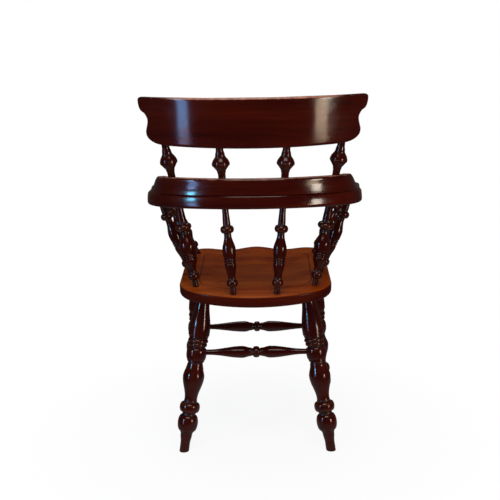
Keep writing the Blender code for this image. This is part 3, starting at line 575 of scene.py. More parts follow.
def seat_outline():
    """The seat's plan, clockwise from the middle of its rear edge."""
    steps = settings().seat.outline_steps
    half = SEAT_WIDTH / 2
    rear_turn = math.asin((half - SEAT_REAR_CORNER) / (SEAT_REAR_RADIUS - SEAT_REAR_CORNER))
    front_turn = math.asin((half - SEAT_FRONT_CORNER) / (SEAT_FRONT_RADIUS - SEAT_FRONT_CORNER))
    rear_centre = (0, SEAT_REAR - SEAT_REAR_RADIUS)
    front_centre = (0, SEAT_FRONT_RADIUS - SEAT_REAR)
    rear_reach = (SEAT_REAR_RADIUS - SEAT_REAR_CORNER) * math.cos(rear_turn)
    front_reach = (SEAT_FRONT_RADIUS - SEAT_FRONT_CORNER) * math.cos(front_turn)
    rear_corner = (half - SEAT_REAR_CORNER, rear_centre[1] + rear_reach)
    front_corner = (half - SEAT_FRONT_CORNER, front_centre[1] - front_reach)
    points = arc_points(rear_centre, SEAT_REAR_RADIUS, 0, rear_turn, steps)[:-1]
    points += arc_points(rear_corner, SEAT_REAR_CORNER, rear_turn, math.pi / 2, steps)
    for step in range(1, steps):
        points.append((half, between(rear_corner[1], front_corner[1], step / steps)))
    points += arc_points(front_corner, SEAT_FRONT_CORNER, math.pi / 2, math.pi - front_turn, steps)[:-1]
    points += arc_points(front_centre, SEAT_FRONT_RADIUS, math.pi - front_turn, math.pi, steps)
    return points + [(-x, y) for x, y in reversed(points[1:-1])]


def inset_outline(outline, amount):
    moved = []
    for index, (x, y) in enumerate(outline):
        along = (Vector(outline[(index + 1) % len(outline)]) - Vector(outline[index - 1])).normalized()
        moved.append((x + along.y * amount, y - along.x * amount))
    return moved


def dish(x, y):
    """Depth of the saddle's hollow below the rim, with its pommel at the front."""
    seat = settings().seat
    across = abs(x) / (SEAT_WIDTH / 2 - SIDE_BAND)
    rear = SEAT_REAR - REAR_BAND
    behind = smooth((rear - y) / REAR_BAND)
    forward = smooth((rear - y) / (rear + SEAT_REAR))
    bowl = smooth((1 - across) * 2)
    scoop = max(0, math.sin(math.pi * min(across, 1))) ** 2
    return behind * ((1 - forward) * seat.dish_depth * bowl + forward * seat.scoop_depth * scoop)


def make_seat():
    seat = settings().seat
    outline = seat_outline()
    rings = []

    def ring(points, worn):
        rings.append([((x, y, z), Vector((y, z * 2, x)), worn) for x, y, z in points])

    for rise, inset in rounded_edge(seat.bottom_round, seat.edge_steps):
        ring([(x, y, rise - SEAT_THICKNESS) for x, y in inset_outline(outline, inset)], -0.5)
    for step, (inset, drop) in enumerate(rounded_edge(seat.top_round, seat.edge_steps)):
        worn = between(-0.2, 1.0, smooth(step / seat.edge_steps))
        ring([(x, y, -drop - dish(x, y)) for x, y in inset_outline(outline, inset)], worn)
    top = inset_outline(outline, seat.top_round)
    gutter = 1 - seat.gutter_inset / SEAT_REAR
    width = seat.gutter_width / SEAT_REAR
    scales = [1 - step / seat.top_rings for step in range(1, seat.top_rings)]
    scales = [scale for scale in scales if abs(scale - gutter) > width * 1.5]
    scales += [gutter + width * place for place in (-1, -0.5, 0, 0.5, 1)]
    for scale in sorted(scales, reverse=True):
        cut = seat.gutter_depth * smooth(1 - abs(scale - gutter) / width)
        points = []
        for x, y in top:
            x, y = x * scale, y * scale
            points.append((x, y, -dish(x, y) - cut * smooth((y - GUTTER_END) / GUTTER_FADE)))
        ring(points, between(0.6, -0.9, cut / seat.gutter_depth * 0.5))
    tilt = Matrix.Translation((0, SEAT_REAR, SEAT_BACK_HEIGHT)) @ Matrix.Rotation(-SEAT_TILT, 4, "X")
    skinned_piece("seat", rings, "seat_wood", tilt @ Matrix.Translation((0, -SEAT_REAR, 0)))


# Arms and cresting

def arm_width_at(distance, length):
    share = smooth((distance - (length - HAND_LENGTH)) / (HAND_LENGTH * 0.7))
    return between(ARM_WIDTH, HAND_WIDTH, share)


def arm_outline():
    """Plan of the left arm in the bow's frame, with the distance along it at each point."""
    steps = settings().bow.arm_steps
    length = bow_length()
    body = length - HAND_WIDTH / 2
    outer, inner = [], []
    for step in range(steps + 1):
        distance = body * step / steps
        point, outward = bow_edge(distance)
        width = arm_width_at(distance, length)
        spread = (width - ARM_WIDTH) / 3
        outer.append((point + outward * spread, distance))
        inner.append((point - outward * (width - spread), distance))
    centre = (outer[-1][0] + inner[-1][0]) / 2
    radius = (outer[-1][0] - inner[-1][0]).length / 2
    outward = (outer[-1][0] - centre) / radius
    forward = Vector((outward.y, -outward.x))
    tip = []
    tip_steps = steps // 2
    for step in range(1, tip_steps):
        angle = math.pi * step / tip_steps
        place = centre + outward * radius * math.cos(angle) + forward * radius * math.sin(angle)
        tip.append((place, body + radius * math.sin(angle)))
    points = outer + tip + list(reversed(inner))
    points[0] = (Vector((0, points[0][0].y)), 0)
    points[-1] = (Vector((0, points[-1][0].y)), 0)
    return points


def arm_levels():
    """Levels round an arm as (height, inset): rounded edges with a slight swelling between."""
    bow = settings().bow
    low, high = bow.arm_low_round, BOW_THICKNESS - bow.arm_round
    levels = rounded_edge(low, bow.round_steps)
    levels += [(between(low, high, step / bow.section_steps), 0) for step in range(1, bow.section_steps)]
    levels += [(BOW_THICKNESS - drop, inset)
               for inset, drop in rounded_edge(bow.arm_round, bow.round_steps)]
    levels = [(z, inset + bow.arm_swell * (z / ARM_WIDEST - 1) ** 2) for z, inset in levels]
    under = (0, levels[0][1] + ARM_FACE_RINGS[0])
    return [under] + levels + [(BOW_THICKNESS, levels[-1][1] + step) for step in ARM_FACE_RINGS]


def make_arm(side_name, side):
    outline = arm_outline()
    plan = [tuple(point) for point, _ in outline]
    rings = []
    for height, inset in arm_levels():
        places = inset_outline(plan, inset)
        places[0], places[-1] = (0, plan[0][1] - inset), (0, plan[-1][1] + inset)
        high = height / BOW_THICKNESS
        ring = []
        for (x, y), (_, along) in zip(places, outline):
            wear_and_highlight = smooth((along - HANDLED_FROM) / HANDLED_FADE) * (0.55 + 0.45 * high)
            joint = smooth((CREST_HALF_LENGTH - JOINT_MARGIN - along) / JOINT_FADE)
            joint *= smooth((high - TOP_FACE_FROM) / TOP_FACE_FADE)
            wood_place = Vector((y * 0.5, height, along * side))
            ring.append(((x * side, y, height), wood_place, between(wear_and_highlight, -1, joint)))
        rings.append(ring)
    skinned_piece("arm_" + side_name, rings, "arm_lacquer", bow_matrix(0))


def crest_section(height, back, lean):
    """Section of the cresting as (inset from the bow's edge, height, wear), outer side first. The high
    wear on the top rounding paints a pale highlight there.
    """
    bow = settings().bow
    share = min(height / CREST_HEIGHT, 1)
    nose = bow.crest_round * share
    lean *= share
    top_outer, top_inner = back + lean, back + lean / 2 + CREST_TOP_WIDTH
    inner = back + CREST_BASE_WIDTH
    points = []
    for step in range(bow.section_steps + 1):
        up = step / bow.section_steps
        inset = back + lean * up + bow.crest_cove * share * math.sin(math.pi * up)
        points.append((inset, up * (height - nose), 0.3 * up ** 8))
    # The top rounding's wear rises to 1, which paints the pale highlight of the rails' edge colour along
    # the top.
    rounding = [(nose * (1 - math.cos(angle)), height - nose * (1 - math.sin(angle)),
                 between(0.3, 1, math.sin(angle) ** 3)) for angle in quarter_turn(bow.round_steps)]
    points += [(top_outer + inset, z, worn) for inset, z, worn in rounding[1:]]
    points += [(top_inner - inset, z, worn) for inset, z, worn in reversed(rounding)]
    for step in reversed(range(bow.section_steps)):
        up = step / bow.section_steps
        inset = between(top_inner, inner, (1 - up) ** 2)
        points.append((inset, up * (height - nose), 0.3 * up ** 8))
    return points


def make_cresting():
    steps = settings().bow.crest_steps
    rings = []
    for step in range(-steps, steps + 1):
        distance = CREST_HALF_LENGTH * step / steps
        side = -1 if distance < 0 else 1
        point, outward = bow_edge(abs(distance))
        ring = []
        for inset, z, worn in crest_section(crest_height_at(distance), *crest_setback(distance)):
            place = point - outward * inset
            ring.append(((place.x * side, place.y, z), Vector((inset, z, distance)), worn))
        rings.append(ring)
    skinned_piece("bow_cresting", rings, "rail_lacquer", bow_matrix(BOW_THICKNESS + GLUE_GAP))


# The comb

def comb_reach(share):
    """Half length of the comb at a share of its height: foot, lobe, waist and horn."""
    stations = [(at, between(low, high, part)) for low, high, places in (
        (COMB_FOOT, COMB_LOBE, ((0.00, 0), (0.03, 0.31), (0.08, 0.63), (0.17, 0.92), (0.28, 1))),
        (COMB_LOBE, COMB_WAIST, ((0.37, 0.45), (0.48, 1))),
        (COMB_WAIST, COMB_HORN, ((0.56, 0.03), (0.66, 0.31), (0.72, 0.72), (0.81, 0.93),
                                 (0.94, 1), (1.00, 0.86))),
    ) for at, part in places]
    return smooth_curve(stations, share)


def comb_ring(share, shrink):
    """One level round the comb: (along, depth) pairs, with its four upright edges rounded."""
    comb = settings().comb
    reach = comb_reach(share) - shrink
    front, back = shrink, COMB_THICKNESS - shrink
    corner = min(comb.edge_round, (back - front) / 2)
    points = []
    for centre_along, centre_depth, from_angle in (
        (reach - corner, front + corner, 90), (reach - corner, back - corner, 0),
        (corner - reach, back - corner, -90), (corner - reach, front + corner, -180),
    ):
        for step in range(comb.round_steps + 1):
            angle = math.radians(from_angle - 90 * step / comb.round_steps)
            points.append((centre_along + corner * math.cos(angle),
                           centre_depth - corner * math.sin(angle)))
        if from_angle in (0, -180):
            first, depth = points[-1]
            for step in range(1, comb.columns):
                points.append((between(first, -first, step / comb.columns), depth))
    return points


def make_comb():
    comb = settings().comb
    edge = [(rise / COMB_HEIGHT, inset)
            for rise, inset in rounded_edge(comb.edge_round, comb.round_steps)]
    low, high = edge[-1][0], 1 - edge[-1][0]
    rows = edge + [(between(low, high, step / comb.rows), 0) for step in range(1, comb.rows)]
    rows += [(1 - share, inset) for share, inset in reversed(edge)]
    rings = []
    for share, shrink in rows:
        # The top rounding gets the painted highlight of the edge colour and the foot some wear; both are
        # strongest in the middle and fade towards the comb's ends.
        top_highlight_and_foot_wear = max(smooth((share - COMB_TOP_HIGHLIGHT_FROM) / COMB_TOP_HIGHLIGHT_FADE),
                     0.4 * smooth((COMB_FOOT_WORN - share) / COMB_FOOT_WORN))
        ring = []
        for along, depth in comb_ring(share, shrink):
            height = between(comb_lower_edge(along), comb_upper_edge(along), share)
            wear_and_highlight = between(0.4, 1, smooth((COMB_FOOT - abs(along)) / COMB_END_FADE))
            wood_place = Vector((height, depth, along))
            ring.append((comb_point(along, height, depth), wood_place, wear_and_highlight * top_highlight_and_foot_wear))
        rings.append(ring)
    skinned_piece("comb_rail", rings, "rail_lacquer")


# Node helpers

def feed(tree, sockets, values):
    """Link or set each of the sockets that values names."""
    for key, value in values.items():
        if isinstance(value, bpy.types.NodeSocket):
            tree.links.new(value, sockets[key])
        else:
            sockets[key].default_value = value


def add_node(tree, kind, inputs=None, **values):
    node = tree.nodes.new(kind)
    for name, value in values.items():
        setattr(node, name, value)
    feed(tree, node.inputs, inputs or {})
    return node


def new_group(name, inputs, outputs):
    """A shader group: inputs has each socket's default, None for a vector; outputs has names."""
    tree = bpy.data.node_groups.new(name, "ShaderNodeTree")
    for label, default in inputs.items():
        kind = "NodeSocketVector" if default is None else "NodeSocketFloat"
        socket = tree.interface.new_socket(name=label, in_out="INPUT", socket_type=kind)
        if default is not None:
            socket.default_value = default
    for label in outputs:
        tree.interface.new_socket(name=label, in_out="OUTPUT", socket_type="NodeSocketFloat")
    return tree, tree.nodes.new("NodeGroupInput").outputs, tree.nodes.new("NodeGroupOutput").inputs


def placed_group(tree, name, inputs):
    return add_node(tree, "ShaderNodeGroup", inputs, node_tree=bpy.data.node_groups[name]).outputs


def noise(tree, vector, scale, detail=3.0, roughness=0.5, distortion=0.0):
    return add_node(tree, "ShaderNodeTexNoise", {
        "Vector": vector, "Scale": scale, "Detail": detail, "Roughness": roughness,
        "Distortion": distortion,
    }).outputs["Fac"]


def spread(tree, value, low, high, to_low=0.0, to_high=1.0):
    return add_node(tree, "ShaderNodeMapRange", {
        "Value": value, "From Min": low, "From Max": high, "To Min": to_low, "To Max": to_high,
    }).outputs["Result"]


def calc(tree, operation, first, second, clamp=False):
    return add_node(tree, "ShaderNodeMath", {0: first, 1: second}, operation=operation,
                    use_clamp=clamp).outputs[0]


def times(tree, first, second):
    return calc(tree, "MULTIPLY", first, second)


def plus(tree, first, second, clamp=False):
    return calc(tree, "ADD", first, second, clamp)


def mix_colour(tree, share, first, second, blend="MIX"):
    return add_node(tree, "ShaderNodeMix", {0: share, 6: first, 7: second}, data_type="RGBA",
                    blend_type=blend).outputs[2]


def stretched(tree, vector, scale):
    node = add_node(tree, "ShaderNodeVectorMath", {0: vector, 1: scale}, operation="MULTIPLY")
    return node.outputs["Vector"]


# Shared effects

def grain_group():
    """Broad figure, fine pores and the growth bands of mahogany, with the fibres along z."""
    tree, given, result = new_group("mahogany_grain", {"Wood place": None, "Figure scale": 26.0},
                                    ("Figure", "Pores", "Bands"))
    place = given["Wood place"]
    broad = noise(tree, stretched(tree, place, (1, 1, 0.10)), given["Figure scale"], 5.0, 0.6, 0.5)
    fine = noise(tree, stretched(tree, place, (1, 1, 0.035)), 900.0, 2.0, 0.6)
    bend = noise(tree, stretched(tree, place, (1, 1, 0.25)), 9.0, 2.0)
    across = add_node(tree, "ShaderNodeSeparateXYZ", {0: place}).outputs["X"]
    phase = plus(tree, times(tree, across, 420.0), times(tree, bend, 22.0))
    feed(tree, result, {
        "Figure": spread(tree, broad, 0.36, 0.66),
        "Pores": spread(tree, fine, 0.60, 0.72),
        "Bands": spread(tree, calc(tree, "SINE", phase, 0.0), -1.0, 1.0),
    })


def handling_group():
    """Where hands have worn the finish, and where old polish and dust have stayed. The first mask also
    paints highlights: pale on the rails' top edges, and partly on proud beads.
    """
    tree, given, result = new_group("handling", {"Wear": 0.0, "Place": None},
                                    ("Rubbed and highlight", "Settled", "Dull"))
    wear, place = given["Wear"], given["Place"]
    broken = calc(tree, "SUBTRACT", noise(tree, place, 55.0, 5.0, 0.65), 0.5)
    raised = plus(tree, wear, times(tree, broken, 1.3))
    low = calc(tree, "SUBTRACT", times(tree, broken, 0.8), wear)
    feed(tree, result, {
        "Rubbed and highlight": spread(tree, raised, 0.45, 1.15),
        "Settled": spread(tree, low, 0.15, 0.9),
        "Dull": spread(tree, noise(tree, place, 14.0, 4.0, 0.6), 0.40, 0.70),
    })


def polish_group():
    """Height of hand-laid lacquer: slow waves, a fine orange peel, dents and light scratches."""
    tree, given, result = new_group("polish_surface", {"Wood place": None, "Pores": 0.0},
                                    ("Height", "Scratches"))
    place = given["Wood place"]
    slow = times(tree, noise(tree, stretched(tree, place, (1, 1, 0.45)), 60.0, 2.0), 0.55)
    peel = times(tree, noise(tree, place, 420.0, 2.0), 0.10)
    thin = noise(tree, stretched(tree, place, (1.0, 1.0, 0.02)), 700.0, 1.0)
    scratch = spread(tree, thin, 0.70, 0.74)
    dents = spread(tree, noise(tree, place, 120.0, 1.0), 0.74, 0.80, 0.0, 0.35)
    cuts = plus(tree, dents, times(tree, scratch, 0.05))
    sunk = plus(tree, times(tree, given["Pores"], 0.06), cuts)
    height = calc(tree, "SUBTRACT", plus(tree, slow, peel), sunk)
    feed(tree, result, {"Height": height, "Scratches": scratch})


# Finishes

def opaque(colour, tone=1.0):
    return tuple(channel * tone for channel in colour) + (1,)


def wood_base(name, figure_scale):
    """A new material's tree, its wear, and the outputs of the shared effects placed in it."""
    material = bpy.data.materials.new(name + "_finish")
    material.use_nodes = True
    tree = material.node_tree
    place = add_node(tree, "ShaderNodeAttribute", attribute_name="grain").outputs["Vector"]
    worn = add_node(tree, "ShaderNodeAttribute", attribute_name="wear").outputs["Fac"]
    spot = add_node(tree, "ShaderNodeTexCoord").outputs["Object"]
    grain = placed_group(tree, "mahogany_grain", {"Wood place": place, "Figure scale": figure_scale})
    handling = placed_group(tree, "handling", {"Wear": worn, "Place": spot})
    polish = placed_group(tree, "polish_surface", {"Wood place": place, "Pores": grain["Pores"]})
    return tree, worn, grain, handling, polish


def finish_surface(tree, colour, handling, polish, roughness, relief, gloss, coat_roughness):
    """Wire the shader: the colour, a gloss dulled by handling, and the relief of the polish."""
    rough = plus(tree, times(tree, handling["Dull"], 0.08), roughness)
    rough = plus(tree, rough, times(tree, handling["Settled"], 0.30))
    rough = plus(tree, rough, times(tree, polish["Scratches"], 0.15), clamp=True)
    raised = add_node(tree, "ShaderNodeBump",
                      {"Height": polish["Height"], "Distance": relief, "Strength": 0.6})
    feed(tree, tree.nodes["Principled BSDF"].inputs, {
        "Base Color": colour, "Roughness": rough, "Normal": raised.outputs["Normal"],
        "Specular IOR Level": gloss, "Coat Weight": settings().finish.coat,
        "Coat Roughness": coat_roughness,
    })


def make_lacquer(name, tone, rubbed_and_highlight_colour, rubbed_and_highlight_share, figure_scale):
    """Dark red-brown lacquer, warmer where it is thin and brown where hands have worn it. The same mask
    paints a pale highlight on the rails' top edges, and on the turnings' proud beads its brown is partly
    wear and partly a painted highlight.
    """
    finish = settings().finish
    tree, _, grain, handling, polish = wood_base(name, figure_scale)
    colour = mix_colour(tree, times(tree, grain["Figure"], 0.75),
                        opaque(finish.lacquer_colour, tone), opaque(finish.figure_colour, tone))
    for mask, share, second, blend in (
        (grain["Bands"], 0.25, LACQUER_BANDS, "MULTIPLY"),
        (handling["Rubbed and highlight"], rubbed_and_highlight_share, opaque(rubbed_and_highlight_colour), "MIX"),
        (grain["Pores"], 0.45, LACQUER_PORES, "MIX"),
        (handling["Settled"], 0.35, opaque(finish.dust_colour), "MIX"),
    ):
        colour = mix_colour(tree, times(tree, mask, share), colour, second, blend)
    finish_surface(tree, colour, handling, polish, finish.roughness, LACQUER_RELIEF, finish.gloss, 0.07)


def make_seat_finish():
    """Varnished seat: orange-brown top worn by sitting, with the old dark finish at its edge."""
    finish = settings().finish
    tree, worn, grain, handling, polish = wood_base("seat_wood", 16.0)
    figure = grain["Figure"]
    top = mix_colour(tree, figure, opaque(finish.seat_colour), opaque(finish.seat_figure))
    for mask, share, second, blend in (
        (grain["Bands"], 0.30, SEAT_BANDS, "MULTIPLY"),
        (grain["Pores"], 0.55, SEAT_PORES, "MIX"),
        (handling["Dull"], 0.35, SEAT_DULLED, "MULTIPLY"),
    ):
        top = mix_colour(tree, times(tree, mask, share), top, second, blend)
    edge = mix_colour(tree, figure, opaque(finish.lacquer_colour), opaque(finish.figure_colour))
    colour = mix_colour(tree, spread(tree, worn, 0.05, 0.55), edge, top)
    finish_surface(tree, colour, handling, polish, 0.28, SEAT_RELIEF, finish.gloss * 0.15, 0.12)


# Settings

def count_setting(name, about, default, low, high):
    return IntProperty(name=name, description=about, default=default, min=low, max=high)


def length_setting(name, about, default, low, high):
    return FloatProperty(name=name, description=about, default=default, min=low, max=high,
                         unit="LENGTH")


def level_setting(name, about, default, low=0.0, subtype="NONE"):
    return FloatProperty(name=name, description=about, default=default, min=low, max=1.0,
                         subtype=subtype)


def power_setting(name, about, default, high):
    return FloatProperty(name=name, description=about, default=default, min=0.0, max=high,
                         unit="POWER")


def colour_setting(name, about, default):
    return FloatVectorProperty(name=name, description=about, default=default, min=0, max=1,
                               subtype="COLOR")


class TurningSettings(bpy.types.PropertyGroup):
    sides: count_setting("Sides", "Facets round a turning", 48, 12, 96)
    curve_steps: count_setting("Curve steps", "Steps along each curve of a turning", 9, 2, 20)
    wear_window: length_setting("Wear window", "Distance over which a bead stands proud",
                                0.006, 0.002, 0.02)


class SeatSettings(bpy.types.PropertyGroup):
    outline_steps: count_setting("Outline steps", "Steps along each stretch of the edge", 14, 4, 40)
    top_rings: count_setting("Top rings", "Rings across the top", 34, 8, 80)
    edge_steps: count_setting("Edge steps", "Steps of each rounded edge", 5, 2, 12)
    top_round: length_setting("Top rounding", "Radius of the upper edge", 0.006, 0.001, 0.012)
    bottom_round: length_setting("Bottom rounding", "Radius of the lower edge", 0.009, 0.001, 0.014)
    gutter_inset: length_setting("Gutter inset", "Distance of the scribed line from the rear edge",
                                 0.048, 0.02, 0.08)
    gutter_width: length_setting("Gutter width", "Half width of the scribed line", 0.0022, 0.001, 0.005)
    gutter_depth: length_setting("Gutter depth", "Depth of the scribed line", 0.0016, 0.0002, 0.003)
    dish_depth: length_setting("Hollow", "Depth of the saddle's hollow", 0.009, 0.0, 0.015)
    scoop_depth: length_setting("Scoops", "Depth beside the pommel", 0.008, 0.0, 0.015)


class BowSettings(bpy.types.PropertyGroup):
    arm_steps: count_setting("Arm steps", "Steps along each arm", 60, 16, 160)
    crest_steps: count_setting("Cresting steps", "Steps along half of the cresting", 60, 16, 160)
    section_steps: count_setting("Section steps", "Steps up the sides of arms and cresting", 10, 3, 24)
    round_steps: count_setting("Rounding steps", "Steps of each rounded edge", 6, 2, 12)
    arm_round: length_setting("Arm rounding", "Radius of the arms' upper edges", 0.005, 0.001, 0.014)
    arm_low_round: length_setting("Lower rounding", "Radius of the arms' lower edges",
                                  0.007, 0.001, 0.014)
    arm_swell: length_setting("Swelling", "How much the arms' sides swell between the edges",
                              0.00045, 0.0, 0.001)
    crest_round: length_setting("Cresting rounding", "Radius of the cresting's top edges",
                                0.006, 0.001, 0.012)
    crest_cove: length_setting("Cove", "Depth of the hollow in the cresting's back",
                               0.0011, 0.0, 0.008)


class CombSettings(bpy.types.PropertyGroup):
    rows: count_setting("Rows", "Steps up the comb", 44, 8, 120)
    columns: count_setting("Columns", "Steps along the comb", 56, 8, 160)
    round_steps: count_setting("Rounding steps", "Steps of each rounded edge", 5, 2, 12)
    edge_round: length_setting("Edge rounding", "Radius of the comb's edges", 0.005, 0.001, 0.010)


class FinishSettings(bpy.types.PropertyGroup):
    lacquer_colour: colour_setting("Lacquer", "Dark lacquer where it lies thick",
                                   (0.026, 0.0008, 0.0003))
    figure_colour: colour_setting("Figure", "Wood that shows through the lacquer",
                                  (0.058, 0.0042, 0.0006))
    # Mostly a painted highlight: the pale pink line along the top edges of the comb and cresting, with a
    # little wear on the comb's foot.
    edge_highlight_and_wear_colour: colour_setting("Worn edge and highlight", "Pale brown along the upper edges of the back",
                                (0.520, 0.230, 0.160))
    handled_colour: colour_setting("Handled", "Brown where hands have thinned the finish",
                                   (0.150, 0.045, 0.010))
    dust_colour: colour_setting("Settled polish", "Old polish and dust in the grooves",
                                (0.020, 0.010, 0.006))
    seat_colour: colour_setting("Varnish", "Varnished seat", (0.145, 0.0165, 0.0002))
    seat_figure: colour_setting("Varnish figure", "Lighter figure of the seat", (0.315, 0.060, 0.004))
    roughness: level_setting("Roughness", "Roughness of the lacquer", 0.11, 0.02, "FACTOR")
    gloss: level_setting("Gloss", "Strength of the wood's own gloss", 0.34, 0.0, "FACTOR")
    coat: level_setting("Coat", "Weight of the clear coat", 0.05, 0.0, "FACTOR")


class StageSettings(bpy.types.PropertyGroup):
    room_level: level_setting("Room light", "Light that comes from all round", 0.35)
    gloss_level: level_setting("Room in the gloss", "How bright the room is in reflections", 0.045)
    floor_white: level_setting("White of the floor", "How white the floor is under the chair",
                               0.90, 0.0, "FACTOR")
    floor_gloss: level_setting("Floor in the gloss", "How bright the floor is in reflections", 0.30)
    key_power: power_setting("Overhead lamp", "Power of the lamp above", 40.0, 200.0)
    fill_power: power_setting("Front lamp", "Power of the lamp before the seat", 12.0, 200.0)
    cool_power: power_setting("Cool window", "Power of the tall cool lamp", 14.0, 100.0)
    warm_power: power_setting("Warm window", "Power of the tall warm lamp", 9.0, 100.0)


class ArmchairSettings(bpy.types.PropertyGroup):
    turning: PointerProperty(type=TurningSettings, name="Turnings", description="Legs and spindles")
    seat: PointerProperty(type=SeatSettings, name="Saddle board", description="The saddle seat")
    bow: PointerProperty(type=BowSettings, name="Bow", description="Arms and cresting")
    comb: PointerProperty(type=CombSettings, name="Comb", description="The comb rail")
    finish: PointerProperty(type=FinishSettings, name="Finish", description="Colours and gloss")
    stage: PointerProperty(type=StageSettings, name="Stage", description="Floor, lamps and camera")


# Operators

class ARMCHAIR_OT_finishes(bpy.types.Operator):
    """Make the shared effects and the lacquers and varnish of the chair"""
    bl_idname = "armchair.finishes"
    bl_label = "Finishes"

    def execute(self, context):
        grain_group()
        handling_group()
        polish_group()
        finish = settings().finish
        # On the legs and spindles the handled brown on proud beads is partly wear and partly a painted
        # highlight.
        make_lacquer("leg_lacquer", 0.95, finish.handled_colour, 0.22, 34.0)
        make_lacquer("spindle_lacquer", 0.85, finish.handled_colour, 0.15, 40.0)
        # The rails' edge colour paints a pale highlight along the top edges of the comb and cresting.
        make_lacquer("rail_lacquer", 1.10, finish.edge_highlight_and_wear_colour, 0.90, 22.0)
        make_lacquer("arm_lacquer", 1.15, finish.handled_colour, 0.95, 24.0)
        make_seat_finish()
        return {"FINISHED"}


class ARMCHAIR_OT_seat(bpy.types.Operator):
    """Make the saddle seat with its hollow, pommel and rounded edges"""
    bl_idname = "armchair.seat"
    bl_label = "Saddle board"

    def execute(self, context):
        make_seat()
        return {"FINISHED"}


class ARMCHAIR_OT_legs(bpy.types.Operator):
    """Turn the four splayed legs and cut their feet level with the floor"""
    bl_idname = "armchair.legs"
    bl_label = "Legs"

    def execute(self, context):
        for side_name, side in SIDES:
            make_leg("rear", side_name, side)
            make_leg("front", side_name, side)
        return {"FINISHED"}


class ARMCHAIR_OT_stretchers(bpy.types.Operator):
    """Turn the four stretchers that join the legs"""
    bl_idname = "armchair.stretchers"
    bl_label = "Stretchers"

    def execute(self, context):
        at = {(kind, side): leg_axis_at(kind, side, LEGS[kind][2]) for kind in LEGS for _, side in SIDES}
        make_stretcher("rear_stretcher", at["rear", -1], at["rear", 1])
        make_stretcher("front_stretcher", at["front", -1], at["front", 1])
        for side_name, side in SIDES:
            make_stretcher("side_stretcher_" + side_name, at["front", side], at["rear", side])
        return {"FINISHED"}


class ARMCHAIR_OT_bow(bpy.types.Operator):
    """Make the two arms and the cresting glued on them behind the sitter"""
    bl_idname = "armchair.bow"
    bl_label = "Arms and cresting"

    def execute(self, context):
        for side_name, side in SIDES:
            make_arm(side_name, side)
        make_cresting()
        return {"FINISHED"}


class ARMCHAIR_OT_comb(bpy.types.Operator):
    """Make the curved comb rail with its shaped ends"""
    bl_idname = "armchair.comb"
    bl_label = "Comb rail"

    def execute(self, context):
        make_comb()
        return {"FINISHED"}


class ARMCHAIR_OT_spindles(bpy.types.Operator):
    """Turn the eight spindles under the bow and the four under the comb"""
    bl_idname = "armchair.spindles"
    bl_label = "Spindles"

    def execute(self, context):
        for side_name, side in SIDES:
            for kind in LOWER_SPINDLES:
                make_lower_spindle(kind, side_name, side)
            for kind in UPPER_SPINDLES:
                make_upper_spindle(kind, side_name, side)
        return {"FINISHED"}


# Stage. The camera was fitted to the photograph: its turn in radians, its place and its shift.

CAMERA_TURN = (0.0189, 0.201, 0.0156)
CAMERA_PLACE = (-0.024, 2.0261, 0.9066)
CAMERA_SHIFT = 1.3358 / 500
WHITE = (1, 1, 1, 1)


def background_rays(tree, glossy_share):
    """1 for rays that look at the background, glossy_share for those that reflect it."""
    rays = tree.nodes.new("ShaderNodeLightPath").outputs
    seen = plus(tree, rays["Is Camera Ray"], rays["Is Transmission Ray"], clamp=True)
    return plus(tree, seen, times(tree, rays["Is Glossy Ray"], glossy_share), clamp=True)


def make_world():
    """White where it is looked at, a plain soft level where it lights, and dim in the gloss."""
    stage = settings().stage
    world = bpy.data.worlds.new("pale_room")
    bpy.context.scene.world = world
    world.use_nodes = True
    tree = world.node_tree
    diffuse = tree.nodes.new("ShaderNodeLightPath").outputs["Is Diffuse Ray"]
    lit = times(tree, diffuse, stage.room_level)
    strength = plus(tree, background_rays(tree, stage.gloss_level), lit)
    feed(tree, tree.nodes["Background"].inputs, {"Color": WHITE, "Strength": strength})


def make_floor():
    """A round pale floor that takes the chair's soft shadow and fades to white around it."""
    stage = settings().stage
    bm = bmesh.new()
    bmesh.ops.create_circle(bm, cap_ends=True, segments=96, radius=1.0)
    bmesh.ops.translate(bm, verts=bm.verts[:], vec=(0, 0, FLOOR_HEIGHT))
    mesh = bpy.data.meshes.new("pale_floor")
    bm.to_mesh(mesh)
    bm.free()
    floor = add_object("pale_floor", mesh)
    material = bpy.data.materials.new("pale_floor")
    material.use_nodes = True
    tree = material.node_tree
    shader = tree.nodes["Principled BSDF"]
    feed(tree, shader.inputs, {
        "Base Color": (0.82, 0.82, 0.82, 1), "Roughness": 0.9, "Specular IOR Level": 0.1,
    })
    glow = add_node(tree, "ShaderNodeEmission", {"Color": WHITE, "Strength": 1.0})
    spot = add_node(tree, "ShaderNodeTexCoord").outputs["Object"]
    away = add_node(tree, "ShaderNodeVectorMath", {0: spot}, operation="LENGTH").outputs["Value"]
    fade = spread(tree, away, 0.20, 0.70, stage.floor_white, 1.0)
    share = times(tree, fade, background_rays(tree, 0.0))
    seen = add_node(tree, "ShaderNodeMixShader", {0: share, 1: shader.outputs[0], 2: glow.outputs[0]})
    level = spread(tree, away, 0.15, 1.0, stage.floor_gloss, stage.gloss_level)
    mirrored = add_node(tree, "ShaderNodeEmission", {"Color": WHITE, "Strength": level})
    glossy = tree.nodes.new("ShaderNodeLightPath").outputs["Is Glossy Ray"]
    blend = add_node(tree, "ShaderNodeMixShader",
                     {0: glossy, 1: seen.outputs[0], 2: mirrored.outputs[0]})
    tree.links.new(blend.outputs[0], tree.nodes["Material Output"].inputs["Surface"])
    mesh.materials.append(material)


def add_lamp(name, place, target, size, power, colour):
    lamp = bpy.data.lights.new(name, "AREA")
    lamp.shape = "RECTANGLE"
    lamp.size, lamp.size_y = size
    lamp.energy = power
    lamp.color = colour
    holder = add_object(name, lamp)
    holder.location = place
    holder.rotation_euler = (Vector(target) - Vector(place)).to_track_quat("-Z", "Y").to_euler()
    holder.visible_camera = False


